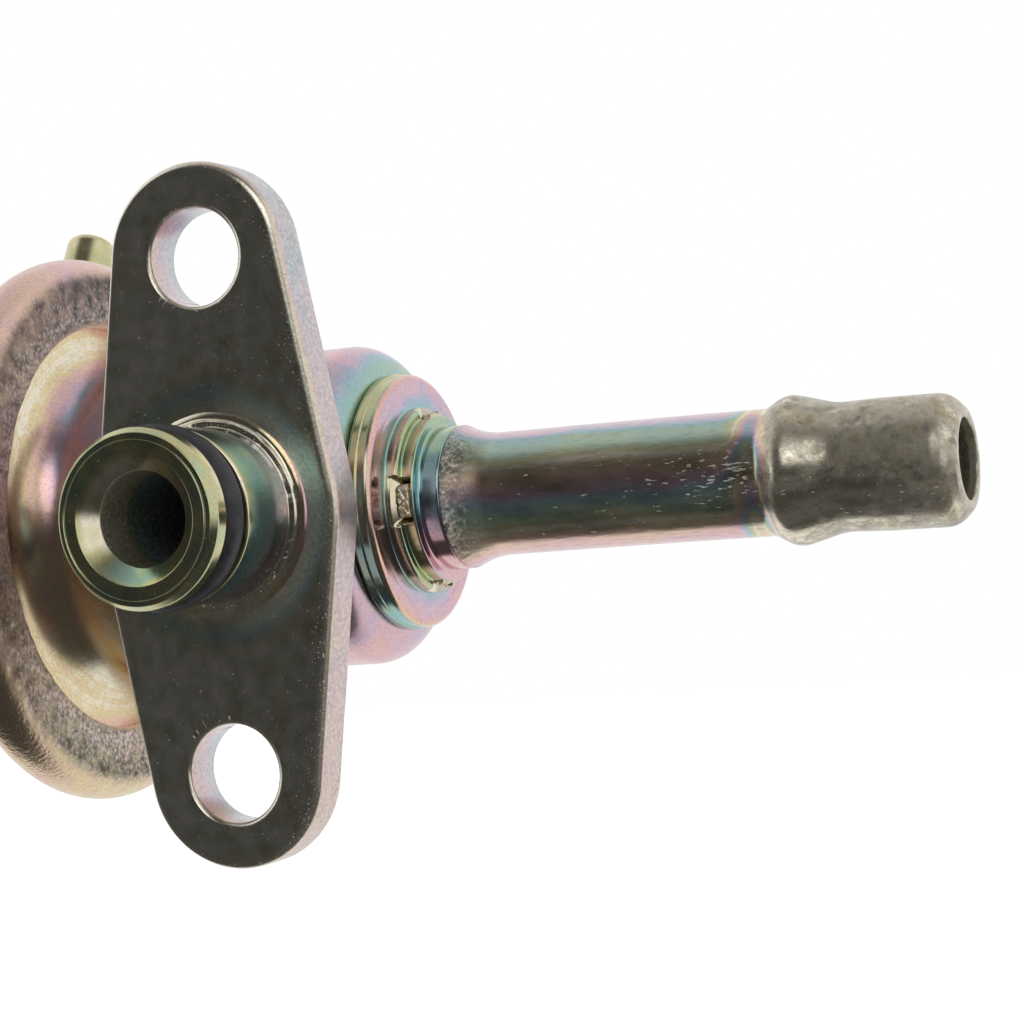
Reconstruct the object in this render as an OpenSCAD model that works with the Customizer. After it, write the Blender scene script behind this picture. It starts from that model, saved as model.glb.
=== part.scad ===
// Fuel pressure regulator with a two-bolt flange, a side inlet and a return tube.
// Millimetres. The origin is the middle of the flange's mating face.
// The inlet points along -Y, the return tube along +X and the flange stands along Z.

/* [Mounting flange] */
// Thickness of the flange plate
flange_t = 3.2; // [2:0.1:5]
// Distance between the two bolt holes
hole_spacing = 34; // [30:0.5:44]
// Diameter of a bolt hole
hole_d = 6.5; // [5:0.1:7.5]
// Radius of the flange's rounded ends
lobe_r = 6.3; // [5.5:0.1:8]
// Radius of the flange's wide middle
middle_r = 9; // [8:0.1:12]
// Bevel along the front edge of the flange
flange_edge = 0.5; // [0.2:0.1:1]

/* [Inlet spigot] */
// Outer diameter of the spigot
spigot_d = 11.5; // [11:0.1:14]
// Reach of the spigot from the mating face
spigot_len = 10.1; // [8:0.1:14]
// Bore of the spigot
inlet_bore_d = 6.1; // [5:0.1:6.3]
// Width of the bevelled mouth
inlet_mouth_d = 8.4; // [7:0.1:9]
// Length of the plain land at the spigot's end
end_land = 1.7; // [1.2:0.1:2.5]
// Rounding of the spigot's end
spigot_edge = 0.7; // [0.3:0.1:1]
// Wall of the spigot's root inside the flange
root_wall = 1.9; // [1.5:0.1:2.2]
// Bevel where the spigot meets the flange
spigot_foot = 0.5; // [0.2:0.1:1]

/* [O ring] */
// Thickness of the ring
ring_d = 2.15; // [1.8:0.05:2.3]
// How far the ring stands out of its groove
ring_proud = 0.2; // [0.1:0.02:0.24]
// Spare width of the groove
groove_room = 0.5; // [0.3:0.1:0.8]

/* [Body shell] */
// Outer diameter of the drawn shell
body_d = 22.2; // [22:0.1:26]
// Sheet thickness of the shell
body_wall = 1.2; // [0.8:0.1:1.5]
// From the spigot's axis to the shell's end face
body_front = 7; // [6.8:0.1:12]
// Rounding of the end
shoulder_r = 2.6; // [2:0.1:4]
// Rounding between the shell and its brim
brim_fillet = 3.5; // [2.5:0.1:4]

/* [Spring cover] */
// From the spigot's axis back to the clamped diaphragm
diaphragm_back = 17.9; // [17.5:0.1:24]
// Outer diameter of the crimped rim
rim_d = 39.4; // [39:0.2:46]
// Inner diameter of the crimped lip
lip_d = 29.2; // [28:0.2:31]
// Rounding of the rim
rim_edge = 2; // [1:0.1:2.1]
// Rounding of the lip's inner edge
lip_edge = 0.4; // [0.2:0.1:0.6]
// Outer diameter of the spring cup
cover_d = 26.4; // [26:0.2:30]
// Sheet thickness of the cover
cover_wall = 1.2; // [0.9:0.1:1.3]
// Length of the cup behind the rim
cover_len = 21; // [20:0.5:30]
// Rounding of the cup's end
cover_end_r = 3.2; // [2:0.1:3.5]
// Rounding between the cup and the rim
cover_fillet = 1.6; // [1:0.1:1.8]

/* [Vacuum nipple] */
// Outer diameter of the nipple
nipple_d = 3.9; // [3.5:0.1:4.6]
// Bore of the nipple
nipple_bore_d = 2; // [1.5:0.1:2.2]
// From the main axis to the nipple's tip
nipple_reach = 26; // [24:0.2:34]
// Lean of the nipple away from the flange
nipple_lean = 30; // [0:1:90]
// From the back of the rim to the nipple's axis
nipple_back = 4.2; // [4.2:0.1:9]
// Rounding of the nipple's tip
nipple_edge = 0.7; // [0.2:0.1:0.7]
// Width of the brazed foot around the nipple
foot_rim = 0.8; // [0.4:0.1:0.9]
// Height of the brazed foot
foot_t = 1; // [0.6:0.1:2]

/* [Return fitting] */
// Outer diameter of the collar on the shell's end
collar_d = 17.8; // [16:0.2:18]
// Thickness of the collar
collar_t = 1.7; // [1.2:0.1:3]
// Rounding of the collar's front edge
collar_edge = 0.5; // [0.2:0.1:0.8]
// Outer diameter of the staked boss
boss_d = 12.8; // [12.4:0.1:14]
// Length of the boss
boss_len = 0.9; // [0.7:0.1:2]
// Rounding of the boss's front edge
boss_edge = 0.3; // [0.1:0.1:0.4]
// Outer diameter of the step in front of the boss
step_d = 11.5; // [11.2:0.1:12]
// Length of that step
step_len = 0.9; // [0.7:0.1:2]
// Rounding of the step's front edge
step_edge = 0.3; // [0.1:0.1:0.4]
// Wall of the neck around the tube
neck_wall = 0.7; // [0.5:0.05:0.8]
// Length of the neck past the boss
neck_len = 1.5; // [1:0.1:3]
// Number of staked windows around the boss
stake_count = 4; // [3:1:4]
// Width of a staked window
stake_w = 3.6; // [2.5:0.1:4]
// Width of the tab left in a window
stake_tab_w = 1.3; // [0.8:0.1:1.5]
// How far the tab stays below the boss's surface
stake_tab_drop = 0.9; // [0.4:0.1:1]
// Thickness of the boss left behind a window
stake_floor = 0.2; // [0.1:0.05:0.4]

/* [Return tube] */
// Outer diameter of the tube
tube_d = 8.4; // [8:0.1:9]
// Bore of the tube
tube_bore_d = 5.9; // [5:0.1:6.2]
// Outer diameter of the hose end past the bead
hose_d = 8.6; // [8.2:0.1:9.2]
// From the spigot's axis to the tube's end
tube_reach = 46.9; // [42:0.2:80]
// Outer diameter of the flare against the fitting
flare_d = 10; // [9.6:0.1:11]
// Length of the flare
flare_len = 2.2; // [1.5:0.1:4]
// Straight rim of the flare
flare_rim = 0.4; // [0.2:0.1:0.8]
// Outer diameter of the hose bead
bead_d = 9.9; // [9.6:0.1:11]
// Rounding of the bead's crest
bead_r = 1.5; // [1:0.1:2]
// From the bead's crest to the tube's end
bead_back = 11.4; // [8:0.1:16]
// Length of the bead's taper towards the end
bead_taper = 3.4; // [2.5:0.1:5]
// Outer rounding of the tube's end
tube_edge = 1; // [0.3:0.1:1]
// Inner rounding of the tube's end
mouth_edge = 0.3; // [0.1:0.1:0.3]

/* [Valve] */
// Diameter of the ball
ball_d = 4.8; // [4.4:0.1:5]
// Height of the ground flat above the ball's middle
flat_h = 1.8; // [1.6:0.05:1.9]
// Depth of the ball below the diaphragm's front
ball_depth = 5.6; // [5.4:0.1:6.2]
// Bore of the seat
seat_bore_d = 2.4; // [1.6:0.1:2.6]
// Width of the seat's nose
nose_d = 4; // [3.6:0.1:4.4]
// Length of the seat's nose
nose_len = 1.3; // [1:0.1:2]
// Thickness of the seat's shoulder
seat_flange_t = 0.9; // [0.6:0.1:1.5]
// Length of the seat pressed into the inner tube
seat_grip = 2.5; // [1.5:0.1:4]
// Wall of the inner tube
inner_wall = 1.2; // [0.8:0.1:1.6]
// Wall of the valve holder
holder_wall = 1.5; // [1.2:0.1:1.8]
// Thickness of the ring that keeps the ball
retainer_t = 0.7; // [0.5:0.05:0.8]
// Grip of that ring over the ball
retainer_grip = 0.06; // [0.04:0.01:0.08]
// Radial width of the seat for that ring
retainer_step = 0.6; // [0.4:0.1:0.8]
// Travel of the valve off its seat
valve_lift = 1; // [0.5:0.1:1.2]

/* [Diaphragm and plates] */
// Thickness of the diaphragm
diaphragm_t = 0.8; // [0.6:0.05:1]
// Radius of the diaphragm's rolling fold
fold_r = 10.9; // [10.8:0.1:11.2]
// Bend radius in the middle of the fold
fold_bend = 1.3; // [1.1:0.05:1.4]
// Thickness of the two clamping plates
plate_t = 1; // [0.8:0.1:1.4]
// Room between the plates and the fold
plate_room = 0.4; // [0.3:0.1:0.8]
// Height of the spring plate's upturned edge
plate_lip = 1.2; // [0.8:0.1:2]
// Thickness of that edge
plate_lip_t = 0.6; // [0.4:0.1:0.8]
// Diameter of the shank riveted through the stack
shank_d = 5.2; // [5:0.1:5.6]
// Diameter of the rivet head
rivet_d = 8; // [7:0.1:9]
// Thickness of the rivet head
rivet_t = 0.9; // [0.6:0.1:1.4]

/* [Springs] */
// Wire of the main spring
main_wire = 2; // [1.6:0.1:2.2]
// Turns of the main spring
main_turns = 6.5; // [5:0.5:7]
// Wire of the ball spring
ball_wire = 0.5; // [0.4:0.05:0.55]
// Turns of the ball spring
ball_turns = 5; // [3:0.5:5]
// Thickness of the spring's seat in the cup
spring_seat_t = 1; // [0.8:0.1:2]
// Height of that seat's middle boss
spring_seat_boss = 1.5; // [1:0.1:3]

/* [Fits] */
// Gap for brazed and pressed joints
braze_gap = 0.03; // [0.02:0.01:0.06]
// Gap inside the crimp
crimp_gap = 0.1; // [0.05:0.05:0.3]
// Gap between a spring and what it rests on
spring_gap = 0.06; // [0.04:0.01:0.1]
// Running room around the ball and its spring
ball_room = 0.3; // [0.2:0.05:0.4]
// Room between the main spring and its plates' edges
coil_room = 0.2; // [0.2:0.05:0.4]

/* [Hidden] */
$fn = 96;
// Overrun of a cut past the face it opens
slack = 1;
// Steps around one turn of a spring and around its wire
coil_steps = 20;
wire_sides = 8;
// Pitch of a closed end turn, in wires
closed_pitch = 1.06;

// Main axis and stations along it
body_r = body_d / 2;
axis_y = flange_t + braze_gap + body_r;
brim_back_x = -diaphragm_back;
brim_front_x = brim_back_x + body_wall;
lip_front_x = brim_front_x + cover_wall;
flange_front_x = brim_back_x - diaphragm_t;
rim_back_x = flange_front_x - cover_wall;
cover_end_x = rim_back_x - cover_len;
collar_front_x = body_front + collar_t;
boss_front_x = collar_front_x + boss_len;
step_front_x = boss_front_x + step_len;
neck_front_x = step_front_x + neck_len;
socket_x = body_front + body_wall;

// Rim and cover
rim_r = rim_d / 2;
brim_r = rim_r - cover_wall - crimp_gap;
cover_r = cover_d / 2;
cup_r = cover_r - cover_wall;
nipple_x = rim_back_x - nipple_back;
nipple_r = nipple_d / 2;

// Spigot and ring
spigot_r = spigot_d / 2;
root_r = inlet_bore_d / 2 + root_wall;
body_inner_r = body_r - body_wall;
root_len = axis_y - sqrt(body_inner_r * body_inner_r - root_r * root_r);
groove_r = spigot_r - (ring_d - ring_proud);
groove_w = ring_d + groove_room;
groove_front = spigot_len - end_land;
groove_back = groove_front - groove_w;

// Return line
tube_r = tube_d / 2;
hose_r = hose_d / 2;
tube_bore_r = tube_bore_d / 2;
neck_r = tube_r + braze_gap + neck_wall;
inner_tube_r = tube_bore_r + inner_wall;
bead_x = tube_reach - bead_back;
bead_mid_r = bead_d / 2 - bead_r;

// Valve
ball_r = ball_d / 2;
ball_x = brim_back_x + ball_depth;
seat_x = ball_x + flat_h;
seat_flange_x = seat_x + nose_len;
inner_end_x = seat_flange_x + seat_flange_t;
ball_bore_r = ball_r + ball_room;
holder_r = ball_bore_r + holder_wall;
plate_front_x = brim_back_x + plate_t;
pocket_x = ball_x - ball_r - ball_room;
retainer_r = ball_r - retainer_grip;
retainer_back_x = ball_x + sqrt(ball_r * ball_r - retainer_r * retainer_r) + braze_gap;
holder_front_x = retainer_back_x + retainer_t;
shank_r = shank_d / 2;
plate_back_x = flange_front_x - plate_t;
rivet_x = plate_back_x - rivet_t;
ball_spring_r = ball_bore_r / 2 - ball_wire / 4;
spring_bore_r = ball_spring_r + ball_wire / 2 + ball_room;
spring_bore_x = flange_front_x;
spring_reach_r = ball_spring_r - ball_wire / 2;
ball_back_x = ball_x - sqrt(ball_r * ball_r - spring_reach_r * spring_reach_r);

// Diaphragm, plates and main spring
fold_out = fold_bend + diaphragm_t / 2;
fold_in = fold_bend - diaphragm_t / 2;
fold_x = brim_back_x - diaphragm_t / 2;
plate_r = fold_r - fold_out - plate_room;
main_r = plate_r - plate_lip_t - coil_room - main_wire / 2;
main_inner_r = main_r - main_wire / 2 - coil_room;
seat_back_x = cover_end_x + cover_wall;
seat_front_x = seat_back_x + spring_seat_t;

// Which piece to draw

// Turn a profile of radius and station onto the main axis
module on_axis() {
    translate([0, axis_y, 0]) rotate([0, 90, 0]) children();
}

module turned() {
    on_axis() rotate_extrude() children();
}

// Stand a shape on the spigot's axis, rising along -Y
module on_spigot() {
    rotate([90, 0, 0]) children();
}

// Stand a shape on the nipple's axis
module on_nipple() {
    translate([nipple_x, axis_y, 0]) rotate([-nipple_lean, 0, 0]) children();
}

// A ring section between two radii and two stations
module band(r0, r1, x0, x1) {
    translate([r0, x0]) square([r1 - r0, x1 - x0]);
}

// The sliver between a corner and its rounding, towards dr and dx
module corner(r, x, rad, dr, dx) {
    side = rad + slack / 100;
    difference() {
        translate([r + dr * (rad - side / 2), x + dx * (rad - side / 2)]) square(side, center = true);
        translate([r + dr * rad, x + dx * rad]) circle(r = rad);
    }
}

// Wedge that bevels one straight front edge of the flange
module edge_wedge(side, half) {
    tilt = asin((middle_r - lobe_r) / (hole_spacing / 2));
    wedge = 2 * flange_edge;
    mirror([side > 0 ? 0 : 1, 0, 0])
        mirror([0, half > 0 ? 0 : 1, 0])
            rotate([0, 0, tilt])
                translate([middle_r - flange_edge, -hole_spacing / 4, 0])
                    rotate([0, 45, 0])
                        cube([wedge, hole_spacing, wedge]);
}

// A round-ended frustum of the flange's bevelled front
module bevelled_round(r) {
    translate([0, 0, -flange_t]) cylinder(r = r, h = flange_t - flange_edge);
    translate([0, 0, -flange_edge]) cylinder(r1 = r, r2 = r - flange_edge, h = flange_edge);
}

module mounting_flange() {
    tilt = asin((middle_r - lobe_r) / (hole_spacing / 2));
    color("goldenrod") on_spigot() difference() {
        union() {
            bevelled_round(middle_r);
            for (half = [-1, 1]) {
                translate([0, half * hole_spacing / 2, 0]) bevelled_round(lobe_r);
                difference() {
                    translate([0, 0, -flange_t]) linear_extrude(flange_t) polygon([
                        [middle_r * cos(tilt), half * middle_r * sin(tilt)],
                        [lobe_r * cos(tilt), half * (hole_spacing / 2 + lobe_r * sin(tilt))],
                        [-lobe_r * cos(tilt), half * (hole_spacing / 2 + lobe_r * sin(tilt))],
                        [-middle_r * cos(tilt), half * middle_r * sin(tilt)]]);
                    for (side = [-1, 1]) edge_wedge(side, half);
                }
            }
        }
        for (half = [-1, 1]) {
            translate([0, half * hole_spacing / 2, -flange_t - slack])
                cylinder(d = hole_d, h = flange_t + 2 * slack);
        }
        translate([0, 0, -flange_t - slack]) cylinder(r = root_r + braze_gap, h = flange_t + 2 * slack);
    }
}

module inlet_spigot() {
    bevel = (inlet_mouth_d - inlet_bore_d) / 2;
    color("goldenrod") on_spigot() rotate_extrude() difference() {
        union() {
            band(0, spigot_r, 0, spigot_len);
            band(0, root_r, -root_len, slack);
            polygon([[spigot_r, 0], [spigot_r + spigot_foot, 0], [spigot_r, spigot_foot]]);
        }
        band(0, inlet_bore_d / 2, -root_len - slack, spigot_len + slack);
        polygon([[0, spigot_len - bevel], [inlet_bore_d / 2, spigot_len - bevel],
                 [inlet_mouth_d / 2, spigot_len], [inlet_mouth_d / 2, spigot_len + slack],
                 [0, spigot_len + slack]]);
        band(groove_r, spigot_r + slack, groove_back, groove_front);
        corner(spigot_r, spigot_len, spigot_edge, -1, -1);
    }
}

module inlet_o_ring() {
    color("dimgray") on_spigot() rotate_extrude()
        translate([groove_r + ring_d / 2 + braze_gap, (groove_back + groove_front) / 2])
            circle(d = ring_d);
}

module body_shell() {
    color("gold") difference() {
        turned() difference() {
            union() {
                difference() {
                    band(0, body_r, brim_back_x, body_front);
                    corner(body_r, body_front, shoulder_r, -1, -1);
                }
                band(0, brim_r, brim_back_x, brim_front_x);
                corner(body_r, brim_front_x, brim_fillet, 1, 1);
            }
            difference() {
                band(0, body_inner_r, brim_back_x - slack, body_front - body_wall);
                corner(body_inner_r, body_front - body_wall, shoulder_r - body_wall, -1, -1);
            }
            corner(body_inner_r, brim_back_x, brim_fillet + body_wall, 1, 1);
            band(0, inner_tube_r + braze_gap, brim_back_x, body_front + slack);
        }
        on_spigot() translate([0, 0, -axis_y]) cylinder(r = root_r + braze_gap, h = axis_y);
    }
}

module spring_cover() {
    color("khaki") difference() {
        turned() difference() {
            union() {
                difference() {
                    band(0, rim_r, rim_back_x, lip_front_x);
                    corner(rim_r, rim_back_x, rim_edge, -1, 1);
                    corner(rim_r, lip_front_x, rim_edge, -1, -1);
                }
                difference() {
                    band(0, cover_r, cover_end_x, rim_back_x);
                    corner(cover_r, cover_end_x, cover_end_r, -1, 1);
                }
                corner(cover_r, rim_back_x, cover_fillet, 1, -1);
            }
            band(0, lip_d / 2, flange_front_x, lip_front_x + slack);
            corner(lip_d / 2, lip_front_x, lip_edge, 1, -1);
            band(0, rim_r - cover_wall, flange_front_x, brim_front_x);
            difference() {
                band(0, cup_r, cover_end_x + cover_wall, lip_front_x);
                corner(cup_r, cover_end_x + cover_wall, cover_end_r - cover_wall, -1, 1);
            }
            corner(cup_r, flange_front_x, cover_fillet + cover_wall, 1, -1);
        }
        on_nipple() cylinder(r = nipple_r + braze_gap, h = rim_r);
    }
}

module vacuum_nipple() {
    foot_r = nipple_r + foot_rim;
    color("darkkhaki") difference() {
        on_nipple() rotate_extrude() difference() {
            union() {
                difference() {
                    band(0, nipple_r, cup_r - cover_wall, nipple_reach);
                    corner(nipple_r, nipple_reach, nipple_edge, -1, -1);
                }
                band(0, foot_r, cover_r - foot_t, cover_r + foot_t);
            }
            band(0, nipple_bore_d / 2, 0, nipple_reach + slack);
        }
        on_nipple() difference() {
            cylinder(r = foot_r + slack, h = cover_r);
            translate([0, 0, -slack]) cylinder(r = nipple_r, h = rim_r + slack);
        }
        difference() {
            on_axis() translate([0, 0, cover_end_x]) cylinder(r = cover_r + braze_gap, h = cover_len);
            on_nipple() cylinder(r = nipple_r, h = rim_r);
        }
    }
}

module return_fitting() {
    color("goldenrod") difference() {
        turned() difference() {
            union() {
                difference() {
                    band(0, collar_d / 2, body_front, collar_front_x);
                    corner(collar_d / 2, collar_front_x, collar_edge, -1, -1);
                }
                difference() {
                    band(0, boss_d / 2, body_front, boss_front_x);
                    corner(boss_d / 2, boss_front_x, boss_edge, -1, -1);
                }
                difference() {
                    band(0, step_d / 2, body_front, step_front_x);
                    corner(step_d / 2, step_front_x, step_edge, -1, -1);
                }
                band(0, neck_r, body_front, neck_front_x);
                band(0, inner_tube_r, inner_end_x, body_front);
            }
            band(0, tube_bore_r, inner_end_x - slack, neck_front_x);
            band(0, tube_r + braze_gap, socket_x, neck_front_x + slack);
        }
        for (i = [0 : stake_count - 1]) {
            on_axis() rotate([0, 0, 90 + i * 360 / stake_count]) stake_window();
        }
    }
}

// Two pockets with a tab between them, cut into the boss towards local -X
module stake_window() {
    depth = boss_d / 2 - neck_r;
    tab_r = boss_d / 2 - stake_tab_drop;
    difference() {
        translate([-boss_d / 2 - slack, -stake_w / 2, collar_front_x + stake_floor])
            cube([depth + slack, stake_w, boss_len + step_len]);
        translate([-tab_r, -stake_tab_w / 2, collar_front_x])
            cube([tab_r, stake_tab_w, boss_len + step_len]);
    }
}

// Where a line from the taper's foot touches the round of the bead
function bead_touch(foot) =
    let (reach = norm(foot), lead = atan2(foot[1], foot[0]), turn = acos(bead_r / reach))
    [bead_mid_r + bead_r * cos(lead - turn), bead_x + bead_r * sin(lead - turn)];

module return_tube() {
    taper_foot = [hose_r - bead_mid_r, bead_taper];
    color("khaki") turned() difference() {
        union() {
            band(0, tube_r, socket_x, bead_x);
            difference() {
                band(0, hose_r, bead_x, tube_reach);
                corner(hose_r, tube_reach, tube_edge, -1, -1);
            }
            polygon([[0, neck_front_x], [flare_d / 2, neck_front_x],
                     [flare_d / 2, neck_front_x + flare_rim], [tube_r, neck_front_x + flare_len],
                     [0, neck_front_x + flare_len]]);
            translate([bead_mid_r, bead_x]) circle(r = bead_r);
            polygon([[bead_mid_r, bead_x], bead_touch(taper_foot), [hose_r, bead_x + bead_taper],
                     [bead_mid_r, bead_x + bead_taper]]);
        }
        band(0, tube_bore_r, 0, tube_reach + slack);
        corner(tube_bore_r, tube_reach, mouth_edge, 1, -1);
    }
}

module valve_seat() {
    color("silver") turned() difference() {
        union() {
            band(0, nose_d / 2, seat_x, seat_flange_x);
            band(0, inner_tube_r, seat_flange_x, inner_end_x);
            band(0, tube_bore_r - braze_gap, inner_end_x, inner_end_x + seat_grip);
        }
        band(0, seat_bore_d / 2, seat_x - slack, inner_end_x + seat_grip + slack);
    }
}

module valve_ball() {
    color("silver") on_axis() difference() {
        translate([0, 0, ball_x]) sphere(r = ball_r);
        translate([0, 0, seat_x]) cylinder(r = ball_r, h = ball_r);
    }
}

module valve_holder() {
    color("silver") turned() difference() {
        union() {
            band(0, holder_r, plate_front_x, holder_front_x);
            band(0, shank_r, plate_back_x, plate_front_x);
            band(0, rivet_d / 2, rivet_x, plate_back_x);
        }
        band(0, ball_bore_r, pocket_x, holder_front_x + slack);
        band(0, spring_bore_r, spring_bore_x, holder_front_x);
        band(0, ball_bore_r + retainer_step, retainer_back_x, holder_front_x + slack);
    }
}

module ball_retainer() {
    color("silver") turned()
        band(retainer_r, ball_bore_r + retainer_step - braze_gap, retainer_back_x, holder_front_x);
}

module fuel_side_plate() {
    color("silver") turned() band(shank_r + braze_gap, plate_r, brim_back_x, plate_front_x);
}

module spring_plate() {
    color("silver") turned() {
        band(shank_r + braze_gap, plate_r, plate_back_x, flange_front_x);
        band(plate_r - plate_lip_t, plate_r, plate_back_x - plate_lip, flange_front_x);
    }
}

module diaphragm() {
    color("black") turned() {
        band(shank_r + braze_gap, fold_r - fold_in, flange_front_x, brim_back_x);
        band(fold_r + fold_in, brim_r, flange_front_x, brim_back_x);
        difference() {
            translate([fold_r, fold_x]) circle(r = fold_out);
            translate([fold_r, fold_x]) circle(r = fold_in);
            band(fold_r - fold_out - slack, fold_r + fold_out + slack, fold_x, fold_x + 2 * fold_out);
        }
    }
}

module spring_seat() {
    color("silver") turned() {
        band(0, plate_r, seat_back_x, seat_front_x);
        band(0, main_inner_r, seat_back_x, seat_front_x + spring_seat_boss);
    }
}

// Height of a coil's wire along its turns, with one closed turn at each end
function coil_height(turn, turns, rise, wire) =
    let (closed = wire * closed_pitch, open = (rise - 2 * closed) / (turns - 2))
    turn < 1 ? turn * closed
    : turn > turns - 1 ? rise - (turns - turn) * closed
    : closed + (turn - 1) * open;

// A round wire wound between two stations, as one closed skin
module coil(mean_r, wire, x0, x1, turns) {
    steps = ceil(turns * coil_steps);
    rise = x1 - x0 - wire;
    skin = [for (i = [0 : steps], j = [0 : wire_sides - 1])
        let (turn = turns * i / steps, around = 360 * turn, across = 360 * j / wire_sides,
             r = mean_r + wire / 2 * cos(across))
        [r * cos(around), r * sin(around),
         x0 + wire / 2 + coil_height(turn, turns, rise, wire) + wire / 2 * sin(across)]];
    sides = [for (i = [0 : steps - 1], j = [0 : wire_sides - 1], half = [0, 1])
        let (k = (j + 1) % wire_sides, a = i * wire_sides, b = a + wire_sides)
        half == 0 ? [a + j, a + k, b + k] : [a + j, b + k, b + j]];
    start = [[for (j = [wire_sides - 1 : -1 : 0]) j]];
    end = [[for (j = [0 : wire_sides - 1]) steps * wire_sides + j]];
    polyhedron(points = skin, faces = concat(sides, start, end));
}

module main_spring() {
    color("dimgray") on_axis()
        coil(main_r, main_wire, seat_front_x + spring_gap, plate_back_x - spring_gap, main_turns);
}

module ball_spring() {
    color("dimgray") on_axis()
        coil(ball_spring_r, ball_wire, spring_bore_x + spring_gap, ball_back_x - spring_gap, ball_turns);
}

body_shell();
spring_cover();
vacuum_nipple();
mounting_flange();
inlet_spigot();
inlet_o_ring();
return_fitting();
return_tube();
valve_seat();
valve_ball();
ball_spring();
ball_retainer();
valve_holder();
fuel_side_plate();
diaphragm();
spring_plate();
main_spring();
spring_seat();
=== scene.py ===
# %% [markdown]
# # A fuel pressure regulator in yellow zinc
#
# The regulator is made of pressed and turned steel, plated with zinc and passivated in yellow chromate.
# The passivation is a clear film less than a thousandth of a millimetre thick, so it colours the metal by
# interference: straw, gold, rose, lavender, blue and green lie side by side where the film is thicker or
# thinner.

# %% Set up
import math

import bmesh
import bpy
import numpy as np
from mathutils import Matrix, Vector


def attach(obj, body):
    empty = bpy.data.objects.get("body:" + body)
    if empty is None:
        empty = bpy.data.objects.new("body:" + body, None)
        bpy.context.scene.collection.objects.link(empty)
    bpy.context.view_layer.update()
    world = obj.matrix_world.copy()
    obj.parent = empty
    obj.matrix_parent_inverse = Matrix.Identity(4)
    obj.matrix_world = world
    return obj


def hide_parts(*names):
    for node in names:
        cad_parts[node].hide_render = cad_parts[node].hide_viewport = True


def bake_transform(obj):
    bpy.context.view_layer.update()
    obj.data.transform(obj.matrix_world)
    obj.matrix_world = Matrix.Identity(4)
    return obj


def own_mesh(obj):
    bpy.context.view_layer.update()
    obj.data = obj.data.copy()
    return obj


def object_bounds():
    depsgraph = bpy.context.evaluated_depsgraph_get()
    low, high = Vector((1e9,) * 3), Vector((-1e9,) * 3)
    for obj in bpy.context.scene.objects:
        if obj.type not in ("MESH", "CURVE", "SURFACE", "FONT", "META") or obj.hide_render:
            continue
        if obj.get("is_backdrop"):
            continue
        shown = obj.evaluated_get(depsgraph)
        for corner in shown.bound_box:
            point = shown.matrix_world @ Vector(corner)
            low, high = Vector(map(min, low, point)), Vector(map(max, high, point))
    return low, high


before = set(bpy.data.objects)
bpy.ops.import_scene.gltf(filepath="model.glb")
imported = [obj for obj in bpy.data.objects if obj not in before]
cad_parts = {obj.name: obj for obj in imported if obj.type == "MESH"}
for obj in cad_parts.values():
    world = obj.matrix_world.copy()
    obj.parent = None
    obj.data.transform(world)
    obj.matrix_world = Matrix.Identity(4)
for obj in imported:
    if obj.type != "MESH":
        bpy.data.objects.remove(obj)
cad_low, cad_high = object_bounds()
MM, TURN = 0.001, 2 * math.pi
print("CAD nodes:", len(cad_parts))

# %% [markdown]
# ## Sizes
#
# The stations run along the main axis, which is the axis of the return tube, and are counted from the axis of
# the inlet spigot. They repeat the driving sizes of the solid model, in millimetres.

# %% Sizes
AXIS_Y = 14.33
FLANGE_T, HOLE_SPACING, HOLE_R, LOBE_R, MIDDLE_R = 3.2, 34.0, 3.25, 6.3, 9.0
SPIGOT_R, SPIGOT_LEN, ROOT_R, ROOT_LEN, INLET_R, MOUTH_R = 5.75, 10.1, 4.95, 5.75, 3.05, 4.2
GROOVE_R, GROOVE_BACK, GROOVE_FRONT, RING_R = 3.8, 5.75, 8.4, 1.075
BODY_R, BODY_WALL, BODY_FRONT = 11.1, 1.2, 7.0
BRIM_BACK, BRIM_FRONT, LIP_FRONT = -17.9, -16.7, -15.5
SEAT_BACK, RIM_BACK, COVER_END, COVER_WALL = -18.7, -19.9, -40.9, 1.2
RIM_R, LIP_R, BRIM_R, COVER_R, CUP_R = 19.7, 14.6, 18.4, 13.2, 12.0
COLLAR_R, COLLAR_FRONT, BOSS_R, BOSS_FRONT, STEP_R, STEP_FRONT = 8.9, 8.7, 6.4, 9.6, 5.75, 10.5
NECK_R, NECK_FRONT, SOCKET, FIT_R, INNER_END = 4.93, 12.0, 8.2, 4.18, -8.1
TUBE_R, HOSE_R, TUBE_BORE, TUBE_END, FLARE_R, BEAD_X, BEAD_R = 4.2, 4.3, 2.95, 46.9, 5.0, 35.5, 4.95
NIPPLE_X, NIPPLE_R, NIPPLE_BORE, NIPPLE_TIP, NIPPLE_LEAN = -24.1, 1.95, 1.0, 26.0, 30.0
print("length along the main axis:", round(TUBE_END - COVER_END, 2), "mm")

# %% [markdown]
# ## Making surfaces
#
# Turned, drawn and spun parts are profiles carried round an axis. They could be spun with a modifier, but a
# grid of numbers also lets the film, the wear and the dents follow the same two parameters. A profile is a
# few corners, each with the radius that the press tool or the lathe left there, and the fillet between two
# straight runs follows from the corner's angle. Every skin is one numpy grid of along by around.

# %% Surface tools
HOLD, HOLD_SHARE, FILLET_SHARE = 0.04, 0.3, 0.98
SHARPEST, NEARLY_STRAIGHT, LATTICE_ROWS = 1e-3, 1.57, 64


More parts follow.
